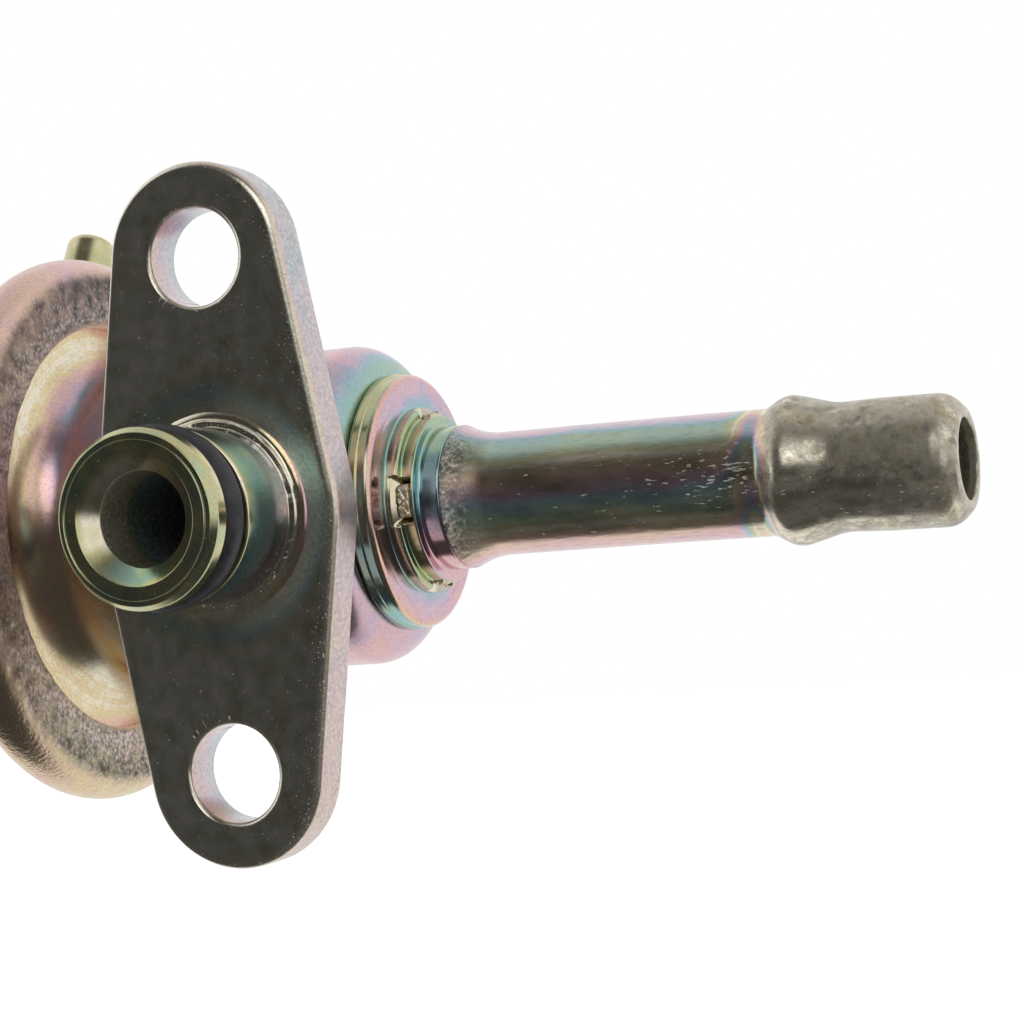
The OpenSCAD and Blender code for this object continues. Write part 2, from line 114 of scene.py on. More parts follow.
def rounded_path(corners, step):
    """Points along a path whose corners (r, x, radius) are rounded by arcs tangent to both runs.
    A point at HOLD to each side of an arc keeps the straight runs flat under smooth shading."""
    spots = [np.array(c[:2], float) for c in corners]
    path = [spots[0]]
    for before, corner, after, spec in zip(spots, spots[1:], spots[2:], corners[1:]):
        a, b = before - corner, after - corner
        la, lb = np.linalg.norm(a), np.linalg.norm(b)
        a, b = a / la, b / lb
        half = math.acos(np.clip(a @ b, -1, 1)) / 2
        radius = min(spec[2], FILLET_SHARE * min(la, lb) * math.tan(half))
        if radius < SHARPEST or half > NEARLY_STRAIGHT:
            path.append(corner)
            continue
        reach = radius / math.tan(half)
        middle = corner + (a + b) / np.linalg.norm(a + b) * radius / math.sin(half)
        arm = corner + a * reach - middle
        turn = math.pi - 2 * half
        side = np.sign(a[0] * b[1] - a[1] * b[0])
        t = -side * np.linspace(0, turn, max(4, int(turn * radius / step) + 2))
        cos, sin = np.cos(t), np.sin(t)
        arc = middle + np.stack([arm[0] * cos - arm[1] * sin, arm[0] * sin + arm[1] * cos], -1)
        path.append(corner + a * (reach + min(HOLD, HOLD_SHARE * (la - reach))))
        path += list(arc)
        path.append(corner + b * (reach + min(HOLD, HOLD_SHARE * (lb - reach))))
    path.append(spots[-1])
    dense = [path[:1]]
    for p, q in zip(path, path[1:]):
        pieces = max(1, int(np.linalg.norm(q - p) / (4 * step)))
        dense.append(p + (q - p) * np.arange(1, pieces + 1)[:, None] / pieces)
    return np.concatenate(dense)


def grid_faces(rows, cols):
    """Quads of a grid of rows by cols, joined back to the first column."""
    i, j = np.meshgrid(np.arange(rows - 1), np.arange(cols), indexing="ij")
    k = (j + 1) % cols
    return np.stack([i * cols + j, i * cols + k, (i + 1) * cols + k, (i + 1) * cols + j], -1).reshape(-1, 4)


def crinkle(around, along, cells, seed):
    """Smooth random relief from -1 to 1: heights on a lattice of cells once around, eased between cells."""
    lattice = np.random.default_rng(seed).uniform(-1, 1, (cells, LATTICE_ROWS))
    u, v = around / TURN * cells, along
    i, j = np.floor(u).astype(int), np.floor(v).astype(int)
    s, t = u - i, v - j
    s, t = s * s * (3 - 2 * s), t * t * (3 - 2 * t)
    i, j, i1, j1 = i % cells, j % LATTICE_ROWS, (i + 1) % cells, (j + 1) % LATTICE_ROWS
    near = lattice[i, j] * (1 - s) + lattice[i1, j] * s
    far = lattice[i, j1] * (1 - s) + lattice[i1, j1] * s
    return near * (1 - t) + far * t


print("points in a corner of 1 mm:", len(rounded_path([(0, 0, 0), (2, 0, 1), (2, 2, 0)], 0.1)))

# %% [markdown]
# ## From numbers to a piece
#
# A grid becomes a mesh in one call. Its seams are welded, its faces are turned outwards, and the film, wear,
# chalk and dullness of every point are kept as attributes, which the finish reads. The piece then rides on a
# body of the regulator, and the solids it stands for are hidden.

# %% From numbers to a piece
WELD = 1e-6


def skin(name, points, faces, looks, material, nodes, body="housing", caps=()):
    """A smooth closed mesh from points in millimetres. looks, such as the film, are kept as attributes, and
    caps are rings of points that close an open end."""
    mesh = bpy.data.meshes.new(name)
    mesh.from_pydata((points * MM).tolist(), [], faces.tolist() + [list(ring) for ring in caps])
    for label, values in looks.items():
        layer = mesh.attributes.new(label, "FLOAT", "POINT")
        layer.data.foreach_set("value", np.broadcast_to(values, len(points)).astype(np.float32))
    shell = bmesh.new()
    shell.from_mesh(mesh)
    bmesh.ops.remove_doubles(shell, verts=shell.verts, dist=WELD)
    bmesh.ops.recalc_face_normals(shell, faces=shell.faces)
    shell.to_mesh(mesh)
    shell.free()
    mesh.polygons.foreach_set("use_smooth", np.ones(len(mesh.polygons), bool))
    mesh.materials.append(material)
    mesh.update()
    piece = bpy.data.objects.new(name, mesh)
    bpy.context.scene.collection.objects.link(piece)
    if body:
        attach(piece, body)
    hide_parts(*nodes)
    print(name, len(mesh.vertices), "points", len(mesh.polygons), "faces")
    return piece


# %% [markdown]
# ## Axes
#
# Each axis is a function from radius, angle and station to a point. The angle is 0 at the top. A relief or a
# bend is added in the axis function, so it is real shape.

# %% Axes
def main_axis(r, around, x):
    """Points round the main axis: around grows from the top towards the flange's side."""
    return np.stack([x, AXIS_Y - r * np.sin(around), r * np.cos(around)], -1)


def spigot_axis(r, around, x):
    """Points round the spigot's axis, with x measured out of the mating face."""
    return np.stack([r * np.sin(around), -x, r * np.cos(around)], -1)


def nipple_axis(r, around, x):
    """Points round the leaning axis of the nipple, with x measured from the main axis."""
    lean = math.radians(NIPPLE_LEAN)
    side = r * np.cos(around)
    return np.stack([NIPPLE_X + r * np.sin(around),
                     AXIS_Y + x * math.sin(lean) + side * math.cos(lean),
                     x * math.cos(lean) - side * math.sin(lean)], -1)


def saddle_axis(r, around, x):
    """The nipple's axis with x measured from the round of the cup, which falls away to both sides."""
    return nipple_axis(r, around, np.sqrt(COVER_R ** 2 - (r * np.cos(around)) ** 2) + x)


print("tip of the nipple:", nipple_axis(0.0, 0.0, NIPPLE_TIP).round(2), "mm")

# %% [markdown]
# ## Materials
#
# One plated finish serves the whole housing. Its colour comes from the film attribute, which each piece sets,
# disturbed by drifts, patches and grain as the film dried unevenly. The sum runs through the interference
# colours in their natural order and starts again, as a thicker film does.

# %% Material tools
SCALE_ADD, COLOURS = {"operation": "MULTIPLY_ADD"}, {"data_type": "RGBA"}
EASED = {"interpolation_type": "SMOOTHSTEP"}
PLUS, MINUS, TIMES, LARGER = ({"operation": name} for name in ("ADD", "SUBTRACT", "MULTIPLY", "MAXIMUM"))


def linear(code):
    """Linear colour of an sRGB hex code."""
    parts = [int(code[i:i + 2], 16) / 255 for i in (1, 3, 5)]
    return tuple(c / 12.92 if c <= 0.04045 else ((c + 0.055) / 1.055) ** 2.4 for c in parts) + (1.0,)


def add(tree, kind, settings=None, out=0, **links):
    """Add a node and return one of its outputs. settings are its properties, with stops for a colour ramp.
    links give an input, named by its label or its place as i0, a socket to join or a plain value."""
    node = tree.nodes.new("ShaderNode" + kind)
    for key, value in (settings or {}).items():
        if key != "stops":
            setattr(node, key, value)
            continue
        while len(node.color_ramp.elements) < len(value):
            node.color_ramp.elements.new(0.5)
        for element, (place, code) in zip(node.color_ramp.elements, value):
            element.position, element.color = place, linear(code)
    for key, value in links.items():
        socket = node.inputs[int(key[1:]) if key[1:].isdigit() else key.replace("_", " ")]
        if isinstance(value, bpy.types.NodeSocket):
            tree.links.new(value, socket)
        else:
            socket.default_value = value
    return node.outputs[out] if len(node.outputs) else node


def new_material(name):
    """An empty material and its node tree."""
    material = bpy.data.materials.new(name)
    material.use_nodes = True
    material.node_tree.nodes.clear()
    return material, material.node_tree


print("mid grey in linear light:", round(linear("#808080")[0], 3))

# %% [markdown]
# ## The film and what breaks it
#
# Zinc under chromate is a metal whose reflection is tinted. Grain of a fifth of a millimetre, patches of one
# and drifts of six make the oily play of colour. A forming tool crushes the film into a dull crackle of grey,
# brown and rose. Hoses rub it off down to mottled steel, and some zinc has turned to white chalk. An image
# could carry all this, but noise in millimetres fits every piece without a seam.

# %% The film and what breaks it
INTERFERENCE = [(0.0, "#e8dfc9"), (0.12, "#d9c48f"), (0.24, "#deb59b"), (0.36, "#d6a8b0"), (0.47, "#c2a9c0"),
                (0.57, "#93acc0"), (0.66, "#86b3b0"), (0.76, "#a1b794"), (0.87, "#c3bb84"), (1.0, "#e8dfc9")]
WORN = [(0.32, "#7a7365"), (0.44, "#a09a8a"), (0.52, "#b8b1a0"), (0.6, "#aa9d83"), (0.7, "#937f60")]
CRACKLE = [(0.34, "#24221c"), (0.45, "#5f5c54"), (0.52, "#8c948d"), (0.6, "#c3aeaa"), (0.7, "#efe2dc")]
THIN_FILM, SMUT, CHALK = "#dddcd6", "#57534a", "#bdb9ac"
DRIFT_MM, PATCH_MM, GRAIN_MM, WORN_MM, CHALK_MM, CRACKLE_MM = 6.0, 1.2, 0.2, 1.0, 0.17, 0.28
DRIFT_SWAY, PATCH_SWAY, GRAIN_SWAY, HALF_SWAY = 0.3, 0.26, 0.1, 0.33
RUB_FROM, RUB_FULL, CHIP_EDGE = 0.88, 1.12, 0.05


def film_tint(tree, film, sways, grain, pale):
    """Interference colour of the film, swayed by noises, thinned by pale and smutted in the grain."""
    shade = film
    for noise, sway in sways:
        shade = add(tree, "Math", SCALE_ADD, i0=noise, i1=sway, i2=shade)
    shade = add(tree, "Math", MINUS, i0=shade, i1=HALF_SWAY)
    shade = add(tree, "Math", {"operation": "FRACT"}, i0=shade)
    tint = add(tree, "ValToRGB", {"stops": INTERFERENCE}, Fac=shade)
    tint = add(tree, "Mix", COLOURS, 2, i0=pale, i6=tint, i7=linear(THIN_FILM))
    smut = add(tree, "MapRange", Value=grain, From_Min=0.5, From_Max=0.8, To_Max=0.3)
    return add(tree, "Mix", COLOURS, 2, i0=smut, i6=tint, i7=linear(SMUT))


def crackled(tree, tint, place, patch, chalk, dull):
    """The tint crossed with crackle by the share dull. chalk shifts the crackle's tone."""
    crackle = add(tree, "TexNoise", Vector=place, Scale=1 / (CRACKLE_MM * MM), Detail=3.0, Roughness=0.6)
    crackle = add(tree, "Math", PLUS, i0=crackle, i1=chalk)
    broken = add(tree, "ValToRGB", {"stops": CRACKLE}, Fac=crackle)
    spread = add(tree, "MapRange", Value=patch, From_Min=0.3, From_Max=0.6, To_Min=0.5, To_Max=1.0)
    spread = add(tree, "Math", TIMES, i0=dull, i1=spread)
    return add(tree, "Mix", COLOURS, 2, i0=spread, i6=tint, i7=broken)


def rubbed_bare(tree, tint, place, wear):
    """The tint with mottled steel where noise plus wear passes RUB_FROM, and the share that is rubbed."""
    grime = add(tree, "TexNoise", Vector=place, Scale=1 / (WORN_MM * MM), Detail=8.0, Roughness=0.72)
    grime = add(tree, "Math", PLUS, i0=grime, i1=wear)
    rubbed = add(tree, "MapRange", EASED, Value=grime, From_Min=RUB_FROM, From_Max=RUB_FULL)
    steel = add(tree, "TexNoise", Vector=place, Scale=0.6 / (WORN_MM * MM), Detail=8.0, Roughness=0.68)
    steel = add(tree, "ValToRGB", {"stops": WORN}, Fac=steel)
    return add(tree, "Mix", COLOURS, 2, i0=rubbed, i6=tint, i7=steel), rubbed


def chipped(tree, tint, place, chalk, chips):
    """The tint with white specks where noise plus chalk passes chips, and the share that is chalk."""
    chip = add(tree, "TexNoise", Vector=place, Scale=1 / (CHALK_MM * MM), Detail=5.0)
    chip = add(tree, "Math", PLUS, i0=chip, i1=chalk)
    chip = add(tree, "MapRange", EASED, Value=chip, From_Min=chips, From_Max=chips + CHIP_EDGE)
    return add(tree, "Mix", COLOURS, 2, i0=chip, i6=tint, i7=linear(CHALK)), chip


print("interference colours in one order:", len(INTERFERENCE) - 1)

# %% [markdown]
# ## Yellow zinc
#
# The finish is made once for each way that the sheet or bar was worked: a turned face is the glossiest, a
# rolled lip is rough, and a drawn tube has its marks pulled out along its length. Rubbed steel is a duller
# metal than the plate, crackle is duller still, and chalk is no metal at all.

# %% Yellow zinc
METAL_LOST = {"rubbed": -0.3, "dull": -0.6}
GLOSS_LOST = {"rubbed": 0.08, "dull": 0.3, "chip": 0.3}
RUBBED_SINK, GLOSS_LOW, GLOSS_HIGH = -0.15, 0.85, 1.15


def yellow_zinc(name, rough, relief_mm, relief_depth, stretch=(1, 1, 1), pale=0.0, chips=0.72, haze=0.0):
    """Zinc plate under its film, read from the attributes film, wear, chalk and dull.
    rough is the gloss, relief the size and depth in millimetres of its unevenness, stretch draws the marks
    out along an axis, pale thins the colour, chips is the noise level above which chalk shows and haze is
    the greatest share of light that the film scatters."""
    material, tree = new_material(name)
    place = add(tree, "TexCoord", out="Object")
    drawn = add(tree, "Mapping", Vector=place, Scale=stretch)
    film, wear, chalk, dull = (add(tree, "Attribute", {"attribute_name": label}, out="Fac")
                               for label in ("film", "wear", "chalk", "dull"))
    drift = add(tree, "TexNoise", Vector=place, Scale=1 / (DRIFT_MM * MM), Detail=2.0)
    patch = add(tree, "TexNoise", Vector=drawn, Scale=1 / (PATCH_MM * MM), Detail=4.0)
    grain = add(tree, "TexNoise", Vector=drawn, Scale=1 / (GRAIN_MM * MM), Detail=2.0)
    sways = ((drift, DRIFT_SWAY), (patch, PATCH_SWAY), (grain, GRAIN_SWAY))
    tint = film_tint(tree, film, sways, grain, pale)
    tint = crackled(tree, tint, place, patch, chalk, dull)
    tint, rubbed = rubbed_bare(tree, tint, place, wear)
    tint, chip = chipped(tree, tint, drawn, chalk, chips)
    shares = {"rubbed": rubbed, "dull": dull, "chip": chip}
    metal = add(tree, "MapRange", Value=patch, From_Min=0.3, From_Max=0.7, To_Min=1.0, To_Max=1.0 - haze)
    for label, change in METAL_LOST.items():
        metal = add(tree, "Math", SCALE_ADD, i0=shares[label], i1=change, i2=metal)
    metal = add(tree, "Math", {**MINUS, "use_clamp": True}, i0=metal, i1=chip)
    gloss = add(tree, "MapRange", Value=patch, To_Min=rough * GLOSS_LOW, To_Max=rough * GLOSS_HIGH)
    for label, change in GLOSS_LOST.items():
        gloss = add(tree, "Math", SCALE_ADD, i0=shares[label], i1=change, i2=gloss)
    height = add(tree, "TexNoise", Vector=drawn, Scale=1 / (relief_mm * MM), Detail=3.0)
    height = add(tree, "Math", SCALE_ADD, i0=rubbed, i1=RUBBED_SINK, i2=height)
    relief = add(tree, "Bump", Height=height, Distance=relief_depth * MM)
    surface = add(tree, "BsdfPrincipled", Base_Color=tint, Metallic=metal, Roughness=gloss, Normal=relief)
    add(tree, "OutputMaterial", Surface=surface)
    return material


ZINC = yellow_zinc("yellow_chromated_zinc", 0.15, 0.8, 0.005, pale=0.1, haze=0.03)
PLATE = yellow_zinc("yellow_chromated_zinc_on_stamped_plate", 0.2, 0.3, 0.006, pale=0.5, chips=0.7, haze=0.03)
LIP = yellow_zinc("yellow_chromated_zinc_on_rolled_lip", 0.26, 0.3, 0.04, pale=0.2)
DRAWN = yellow_zinc("yellow_chromated_zinc_on_drawn_tube", 0.2, 0.35, 0.012, (0.25, 1, 1), 0.25, haze=0.12)
CUP = yellow_zinc("yellow_chromated_zinc_on_deep_drawn_cup", 0.25, 1.5, 0.02, pale=0.16)
print("nodes in the plated finish:", len(ZINC.node_tree.nodes))

# %% [markdown]
# ## Rubber and bare steel
#
# The seal is moulded nitrile, nearly black, with a faint grey bloom. The valve's pieces are turned steel with
# fine tool marks, and the springs are oil-tempered wire with a brown-blue skin.

# %% Rubber and bare steel
BLOOM_MM, TOOL_MM, MARK_DEPTH = 0.8, 0.3, 0.005


def plain_finish(name, stops, size_mm, metal, rough, stretch=(1, 1, 1)):
    """A finish whose colour wanders between stops in patches of size_mm, with the gloss wandering along."""
    material, tree = new_material(name)
    place = add(tree, "Mapping", Vector=add(tree, "TexCoord", out="Object"), Scale=stretch)
    mottle = add(tree, "TexNoise", Vector=place, Scale=1 / (size_mm * MM), Detail=4.0)
    tint = add(tree, "ValToRGB", {"stops": stops}, Fac=mottle)
    gloss = add(tree, "MapRange", Value=mottle, To_Min=rough * 0.8, To_Max=rough * 1.2)
    relief = add(tree, "Bump", Height=mottle, Distance=MARK_DEPTH * MM)
    surface = add(tree, "BsdfPrincipled", Base_Color=tint, Metallic=metal, Roughness=gloss, Normal=relief)
    add(tree, "OutputMaterial", Surface=surface)
    return material


RUBBER = plain_finish("moulded_nitrile_rubber", [(0.3, "#1e1d20"), (0.7, "#353338")], BLOOM_MM, 0.0, 0.5)
CLOTH = plain_finish("nitrile_on_woven_cloth", [(0.3, "#1d1b1c"), (0.7, "#393432")], TOOL_MM, 0.0, 0.65)
STEEL = plain_finish("turned_bearing_steel", [(0.3, "#9d9f9f"), (0.7, "#c9cbc9")], TOOL_MM, 1.0, 0.25,
                     (1, 0.1, 0.1))
WIRE = plain_finish("oil_tempered_spring_wire", [(0.3, "#4a4744"), (0.7, "#6f6a66")], BLOOM_MM, 1.0, 0.35)
print("materials:", [m.name for m in bpy.data.materials])

# %% [markdown]
# ## Drawn shell
#
# The shell is a deep-drawn can whose brim is held in the crimp. From the tube's side one looks into the dish
# between can and crimp. The film there is gold towards the brim, teal above and olive below at the can's
# foot, with fine rings where the drawing tool dragged. The can is cut away for the root of the spigot.

# %% Drawn shell
PLAIN = {"film": 0.5, "wear": 0.1, "chalk": 0.0, "dull": 0.0}


def add_lathe(name, corners, place, material, nodes, looks,
              turns=192, step=0.12, keep=None):
    """Carry a rounded profile of corners round an axis. looks are numbers or functions of (r, around, x)."""
    path = rounded_path(corners, step)
    around = np.linspace(0, TURN, turns, endpoint=False)
    r, a = np.meshgrid(path[:, 0], around, indexing="ij")
    x = np.broadcast_to(path[:, 1][:, None], r.shape)
    points, faces = place(r, a, x).reshape(-1, 3), grid_faces(len(path), turns)
    if keep is not None:
        faces = faces[keep(points[faces].mean(1))]
    values = {label: f(r, a, x) if callable(f) else f for label, f in {**PLAIN, **looks}.items()}
    values = {label: np.broadcast_to(v, r.shape).reshape(-1) for label, v in values.items()}
    return skin(name, points, faces, values, material, nodes)


can = [(FIT_R, BODY_FRONT - BODY_WALL, 0), (FIT_R, BODY_FRONT, 0.1), (BODY_R, BODY_FRONT, 2.6),
       (BODY_R, BRIM_FRONT, 3.5), (BRIM_R, BRIM_FRONT, 0.2), (BRIM_R, BRIM_BACK, 0.2),
       (BODY_R - BODY_WALL, BRIM_BACK, 4.7), (BODY_R - BODY_WALL, BODY_FRONT - BODY_WALL, 1.4),
       (FIT_R, BODY_FRONT - BODY_WALL, 0)]


def outside_inlet(centres):
    """Faces of the can that aren't cut away for the spigot's root."""
    return (np.hypot(centres[:, 0], centres[:, 2]) > ROOT_R) | (centres[:, 1] > AXIS_Y)


def can_film(r, around, x):
    """Gold at the brim, teal above and olive below at the can's foot, then rose and a blue-green shoulder."""
    dish = np.interp(r, [12.5, 13.3, 14.0, LIP_R], [0.12, 0.05, 0.15, 0.3])
    dish = dish + (0.16 + 0.36 * np.cos(around)) * np.interp(r, [BODY_R, 12.6], [1, 0])
    dish = dish + 0.03 * np.sin(9.0 * r) + 0.03 * np.sin(23.0 * r) - 0.04 * np.cos(around)
    shoulder = 0.38 + 0.16 * np.clip((BODY_R - r) / 1.4, 0, 1) * (1.15 + np.cos(around))
    way = np.clip((x + 8) / 10, 0, 1)
    return dish * (1 - way) + shoulder * way


add_lathe("drawn_shell", can, main_axis, CUP, ["body_shell"], {"film": can_film}, turns=288,
          keep=outside_inlet)

# %% [markdown]
# ## Crimp
#
# The cover is rolled over the brim of the shell all the way round. Rolling crushes the plating, so the lip is
# crinkled: its relief is real shape, in cells of 0.7 mm. The crimp is a piece of its own, because it needs a
# far finer grid than the smooth cup behind it.

# %% Crimp
RELIEF, RELIEF_CELL, RELIEF_SEED, LIP_MIDDLE_R = 0.1, 0.7, 3, 17
# The radii and tones from the inside out set the crackle's tone; the dark first tone is painted shadow in the
# crease at the lip's inner edge.
TONE_R = [14.7, 14.9, 15.2, 16.2, 16.8, 17.4, 18.0, 18.6]
TONE_AND_SHADE = [-0.2, 0, 0.05, 0.03, -0.03, -0.07, -0.1, 0]
crimp = [(LIP_R, BRIM_FRONT, 0), (LIP_R, LIP_FRONT, 0.45), (RIM_R, LIP_FRONT, 2.1), (RIM_R, RIM_BACK, 2.1),
         (COVER_R + 2, RIM_BACK, 0), (COVER_R + 2, SEAT_BACK, 0.1), (RIM_R - COVER_WALL, SEAT_BACK, 0.1),
         (RIM_R - COVER_WALL, BRIM_FRONT, 0.1), (LIP_R, BRIM_FRONT, 0)]


def on_lip(r, x):
    """How far a point is on the crushed face of the lip: 1 on it, 0 round the rim and inside the crimp."""
    face = np.clip((x - BRIM_FRONT - 0.5) / 0.6, 0, 1) * np.clip((r - LIP_R) / 0.4, 0, 1)
    return face * np.clip(RIM_R - 0.7 - r, 0, 1)


def crimp_axis(r, around, x):
    """The main axis with the lip's face raised and sunk by the crinkle."""
    relief = crinkle(around, r / RELIEF_CELL, int(TURN * LIP_MIDDLE_R / RELIEF_CELL), RELIEF_SEED)
    return main_axis(r, around, x + RELIEF * relief * on_lip(r, x))


def crimp_dull(r, around, x):
    """Dull on the lip's face, most at top and bottom and least at both sides."""
    return np.clip(on_lip(r, x) * (0.75 + 0.15 * np.cos(2 * around)), 0, 1)


def crimp_tone_and_shade(r, around, x):
    """Tone of the crackle from the inside out: a dark edge, painted shadow in the crease at the lip's inner
    edge, white specks, grey, then dark strokes; painted shade makes it darker at the top and lighter at the
    bottom.
    """
    return np.interp(r, TONE_R, TONE_AND_SHADE) - 0.07 * np.cos(around) - 0.02


# On the crimp the chalk attribute carries the crackle's tone, with painted shadow at the lip's inner edge and
# painted shade, darker at the top and lighter at the bottom.
add_lathe("rolled_crimp", crimp, crimp_axis, LIP, ["spring_cover"],
          {"film": lambda r, a, x: 0.24 + 0.05 * np.cos(a), "dull": crimp_dull, "chalk": crimp_tone_and_shade},
          turns=520, step=0.07)

# %% [markdown]
# ## Spring cup
#
# Behind the crimp the cover is a deep-drawn cup that holds the main spring. Its film is thin and even, so a
# plain sum of station, radius and angle is enough for it.

# %% Spring cup
CUP_EDGE = COVER_R + 2.1
cup = [(CUP_EDGE, SEAT_BACK, 0), (CUP_EDGE, RIM_BACK, 0), (COVER_R, RIM_BACK, 1.6), (COVER_R, COVER_END, 3.2),
       (0, COVER_END, 0), (0, COVER_END + COVER_WALL, 0), (CUP_R, COVER_END + COVER_WALL, 2.0),
       (CUP_R, SEAT_BACK, 2.8), (CUP_EDGE, SEAT_BACK, 0)]


def cup_film(r, around, x):
    """Thinner away from the crimp, thicker towards the middle of the end and at the top."""
    return 0.2 + 0.012 * (x - RIM_BACK) + 0.02 * (COVER_R - r) + 0.12 * np.cos(around)


add_lathe("spring_cup", cup, main_axis, CUP, ["spring_cover"], {"film": cup_film}, turns=256)

# %% [markdown]
# ## Return tube
#
# The tube is drawn, flared against its fitting and rolled up to a bead that keeps the hose on. Its film runs
# from rose at the top through lavender, teal and green to gold, and through the same colours once more on its
# way underneath. The colours crowd together in front of the bead. The hose and its clip have worn the end
# down to grey and brown steel, and the flare's edge is rough and chalky. The end hangs a little low, as a
# bent one does.

# %% Return tube
DROOP, FLARE_TEETH, NOSE, MOUTH_IN = 0.3, 0.03, 1.0, 2.65
FLARE_EDGE, FLARE_CELLS, FLARE_SEED, FILM_END, FLECKS_FROM = FLARE_R - 0.08, 130, 5, 34.6, 34.8
tube = [(TUBE_BORE, SOCKET, 0), (TUBE_R, SOCKET, 0.1), (TUBE_R, NECK_FRONT, 0.05),
        (FLARE_EDGE, NECK_FRONT, 0.15), (FLARE_EDGE, NECK_FRONT + 0.3, 0.3), (TUBE_R, NECK_FRONT + 1.6, 6.0),
        (TUBE_R, BEAD_X - 1.5, 1.0), (BEAD_R + 0.1, BEAD_X, 1.6), (HOSE_R - 0.1, BEAD_X + 3.1, 4.0),
        (HOSE_R, BEAD_X + 6, 5.0), (HOSE_R, TUBE_END - NOSE, 1.6), (HOSE_R - NOSE, TUBE_END, 0.5),
        (MOUTH_IN, TUBE_END, 0.15), (MOUTH_IN, TUBE_END - 0.6, 0.3), (TUBE_BORE, TUBE_END - 1.2, 0.5),
        (TUBE_BORE, SOCKET, 0)]


def bent_axis(r, around, x):
    """The main axis with the flare's edge roughened and the end let down by DROOP, as a square of the way."""
    teeth = crinkle(around, x * 1.2, FLARE_CELLS, FLARE_SEED)
    teeth = teeth * np.interp(x, [12, 12.2, 13.2, 14], [0, 1, 0.7, 0]) * (r > TUBE_R)
    points = main_axis(r + FLARE_TEETH * teeth, around, x)
    points[..., 2] -= DROOP * np.clip((x - NECK_FRONT) / (TUBE_END - NECK_FRONT), 0, 1) ** 2
    return points


def tube_film(r, around, x):
    """The film thickens from the top down both sides, and by most of an order just before the bead."""
    turn = np.abs((around + math.pi) % TURN - math.pi)
    down = np.interp(turn, [0, 0.35, 0.6, 0.95, 1.2, 1.5, 1.8, 2.1, 2.35, 2.6, 2.9, math.pi],
                     [0.38, 0.46, 0.68, 0.77, 1.1, 1.34, 1.62, 1.78, 2.16, 2.26, 2.34, 2.4])
    crowd = 0.85 * np.exp(-((x - 33.4) / 0.9) ** 2)
    return np.where(x > FILM_END, 1.0, down + crowd)


def tube_wear(r, around, x):
    """Bare where hoses and clips rubbed: little on the tube, more before the bead, most on the hose end."""
    along = np.interp(x, [12, 14, 28, 32, 34, 35, 36, 37.5, 45.4, 46.0, 47],
                      [0.22, 0.16, 0.2, 0.34, 0.34, 0.6, 0.56, 0.62, 0.64, 0.6, 0.6])
    low = np.interp(x, [34, 35, 44, 46], [0, 1, 0.7, 0.2]) * np.exp(-((around - 2.05) / 0.55) ** 2)
    return along - 0.32 * low


def tube_chalk(r, around, x):
    """White corrosion, thick round the flare's rough edge and in a scatter before the bead."""
    front = np.clip(np.sin(around), 0, 1)
    flare = np.interp(x, [11.9, 12.2, 13.0, 14.2], [0.02, 0.06, -0.06, -0.14]) * front
    scatter = np.interp(x, [25, 31, 33, 34.5], [0.0, 0.13, 0.12, 0.02])
    scatter = scatter * np.exp(-((around - 1.55) / 0.4) ** 2)
    flecks = 0.1 * np.exp(-((around - 1.95) / 0.5) ** 2)
    return np.where(x > FLECKS_FROM, flecks - 0.05, np.where(x < 15, flare, scatter + 0.03 * front))


def tube_dull(r, around, x):
    """Crushed and dull on the front of the flare, where the tool pressed it home."""
    front = np.clip(2.0 * np.sin(around) - 0.6, 0, 1)
    return np.interp(x, [11.9, 12.1, 13.2, 15.0], [1.0, 1.0, 0.8, 0.0]) * front


add_lathe("return_tube", tube, bent_axis, DRAWN, ["return_tube"],
          {"film": tube_film, "wear": tube_wear, "chalk": tube_chalk, "dull": tube_dull}, turns=288)

# %% [markdown]
# ## Return fitting
#
# The fitting is turned from bar: a collar against the shell, a boss, a step and a neck round the tube. Four
# stakes hold it. Each is a window pressed into the boss and the step. It could be cut with a boolean, but a
# radius pressed in within the window keeps one clean grid.

# %% Return fitting
STAKES, WINDOW_W, WINDOW_BACK, WINDOW_FRONT, WINDOW_EDGE = 4, 3.4, 9.2, 10.35, 0.1
FACE_R, SOCKET_R = COLLAR_R - 0.12, TUBE_R + 0.03
fitting = [(TUBE_BORE, INNER_END, 0), (FIT_R, INNER_END, 0.1), (FIT_R, BODY_FRONT, 0.05),
           (COLLAR_R, BODY_FRONT, 0.25), (COLLAR_R, BODY_FRONT + 0.7, 0.08), (FACE_R, BODY_FRONT + 0.8, 0.08),
           (FACE_R, COLLAR_FRONT, 0.45), (BOSS_R + 1.2, COLLAR_FRONT, 0.05),
           (BOSS_R + 1.1, COLLAR_FRONT - 0.08, 0.05), (BOSS_R, COLLAR_FRONT, 0.12), (BOSS_R, WINDOW_BACK, 0),
           (BOSS_R, WINDOW_BACK + WINDOW_EDGE, 0), (BOSS_R, BOSS_FRONT, 0.2), (STEP_R, BOSS_FRONT, 0.1),
           (STEP_R, WINDOW_FRONT - WINDOW_EDGE, 0), (STEP_R, WINDOW_FRONT, 0), (STEP_R, STEP_FRONT, 0.12),
           (NECK_R, STEP_FRONT, 0.2), (NECK_R, NECK_FRONT, 0.15), (SOCKET_R, NECK_FRONT, 0),
           (SOCKET_R, SOCKET, 0), (TUBE_BORE, SOCKET, 0), (TUBE_BORE, INNER_END, 0)]


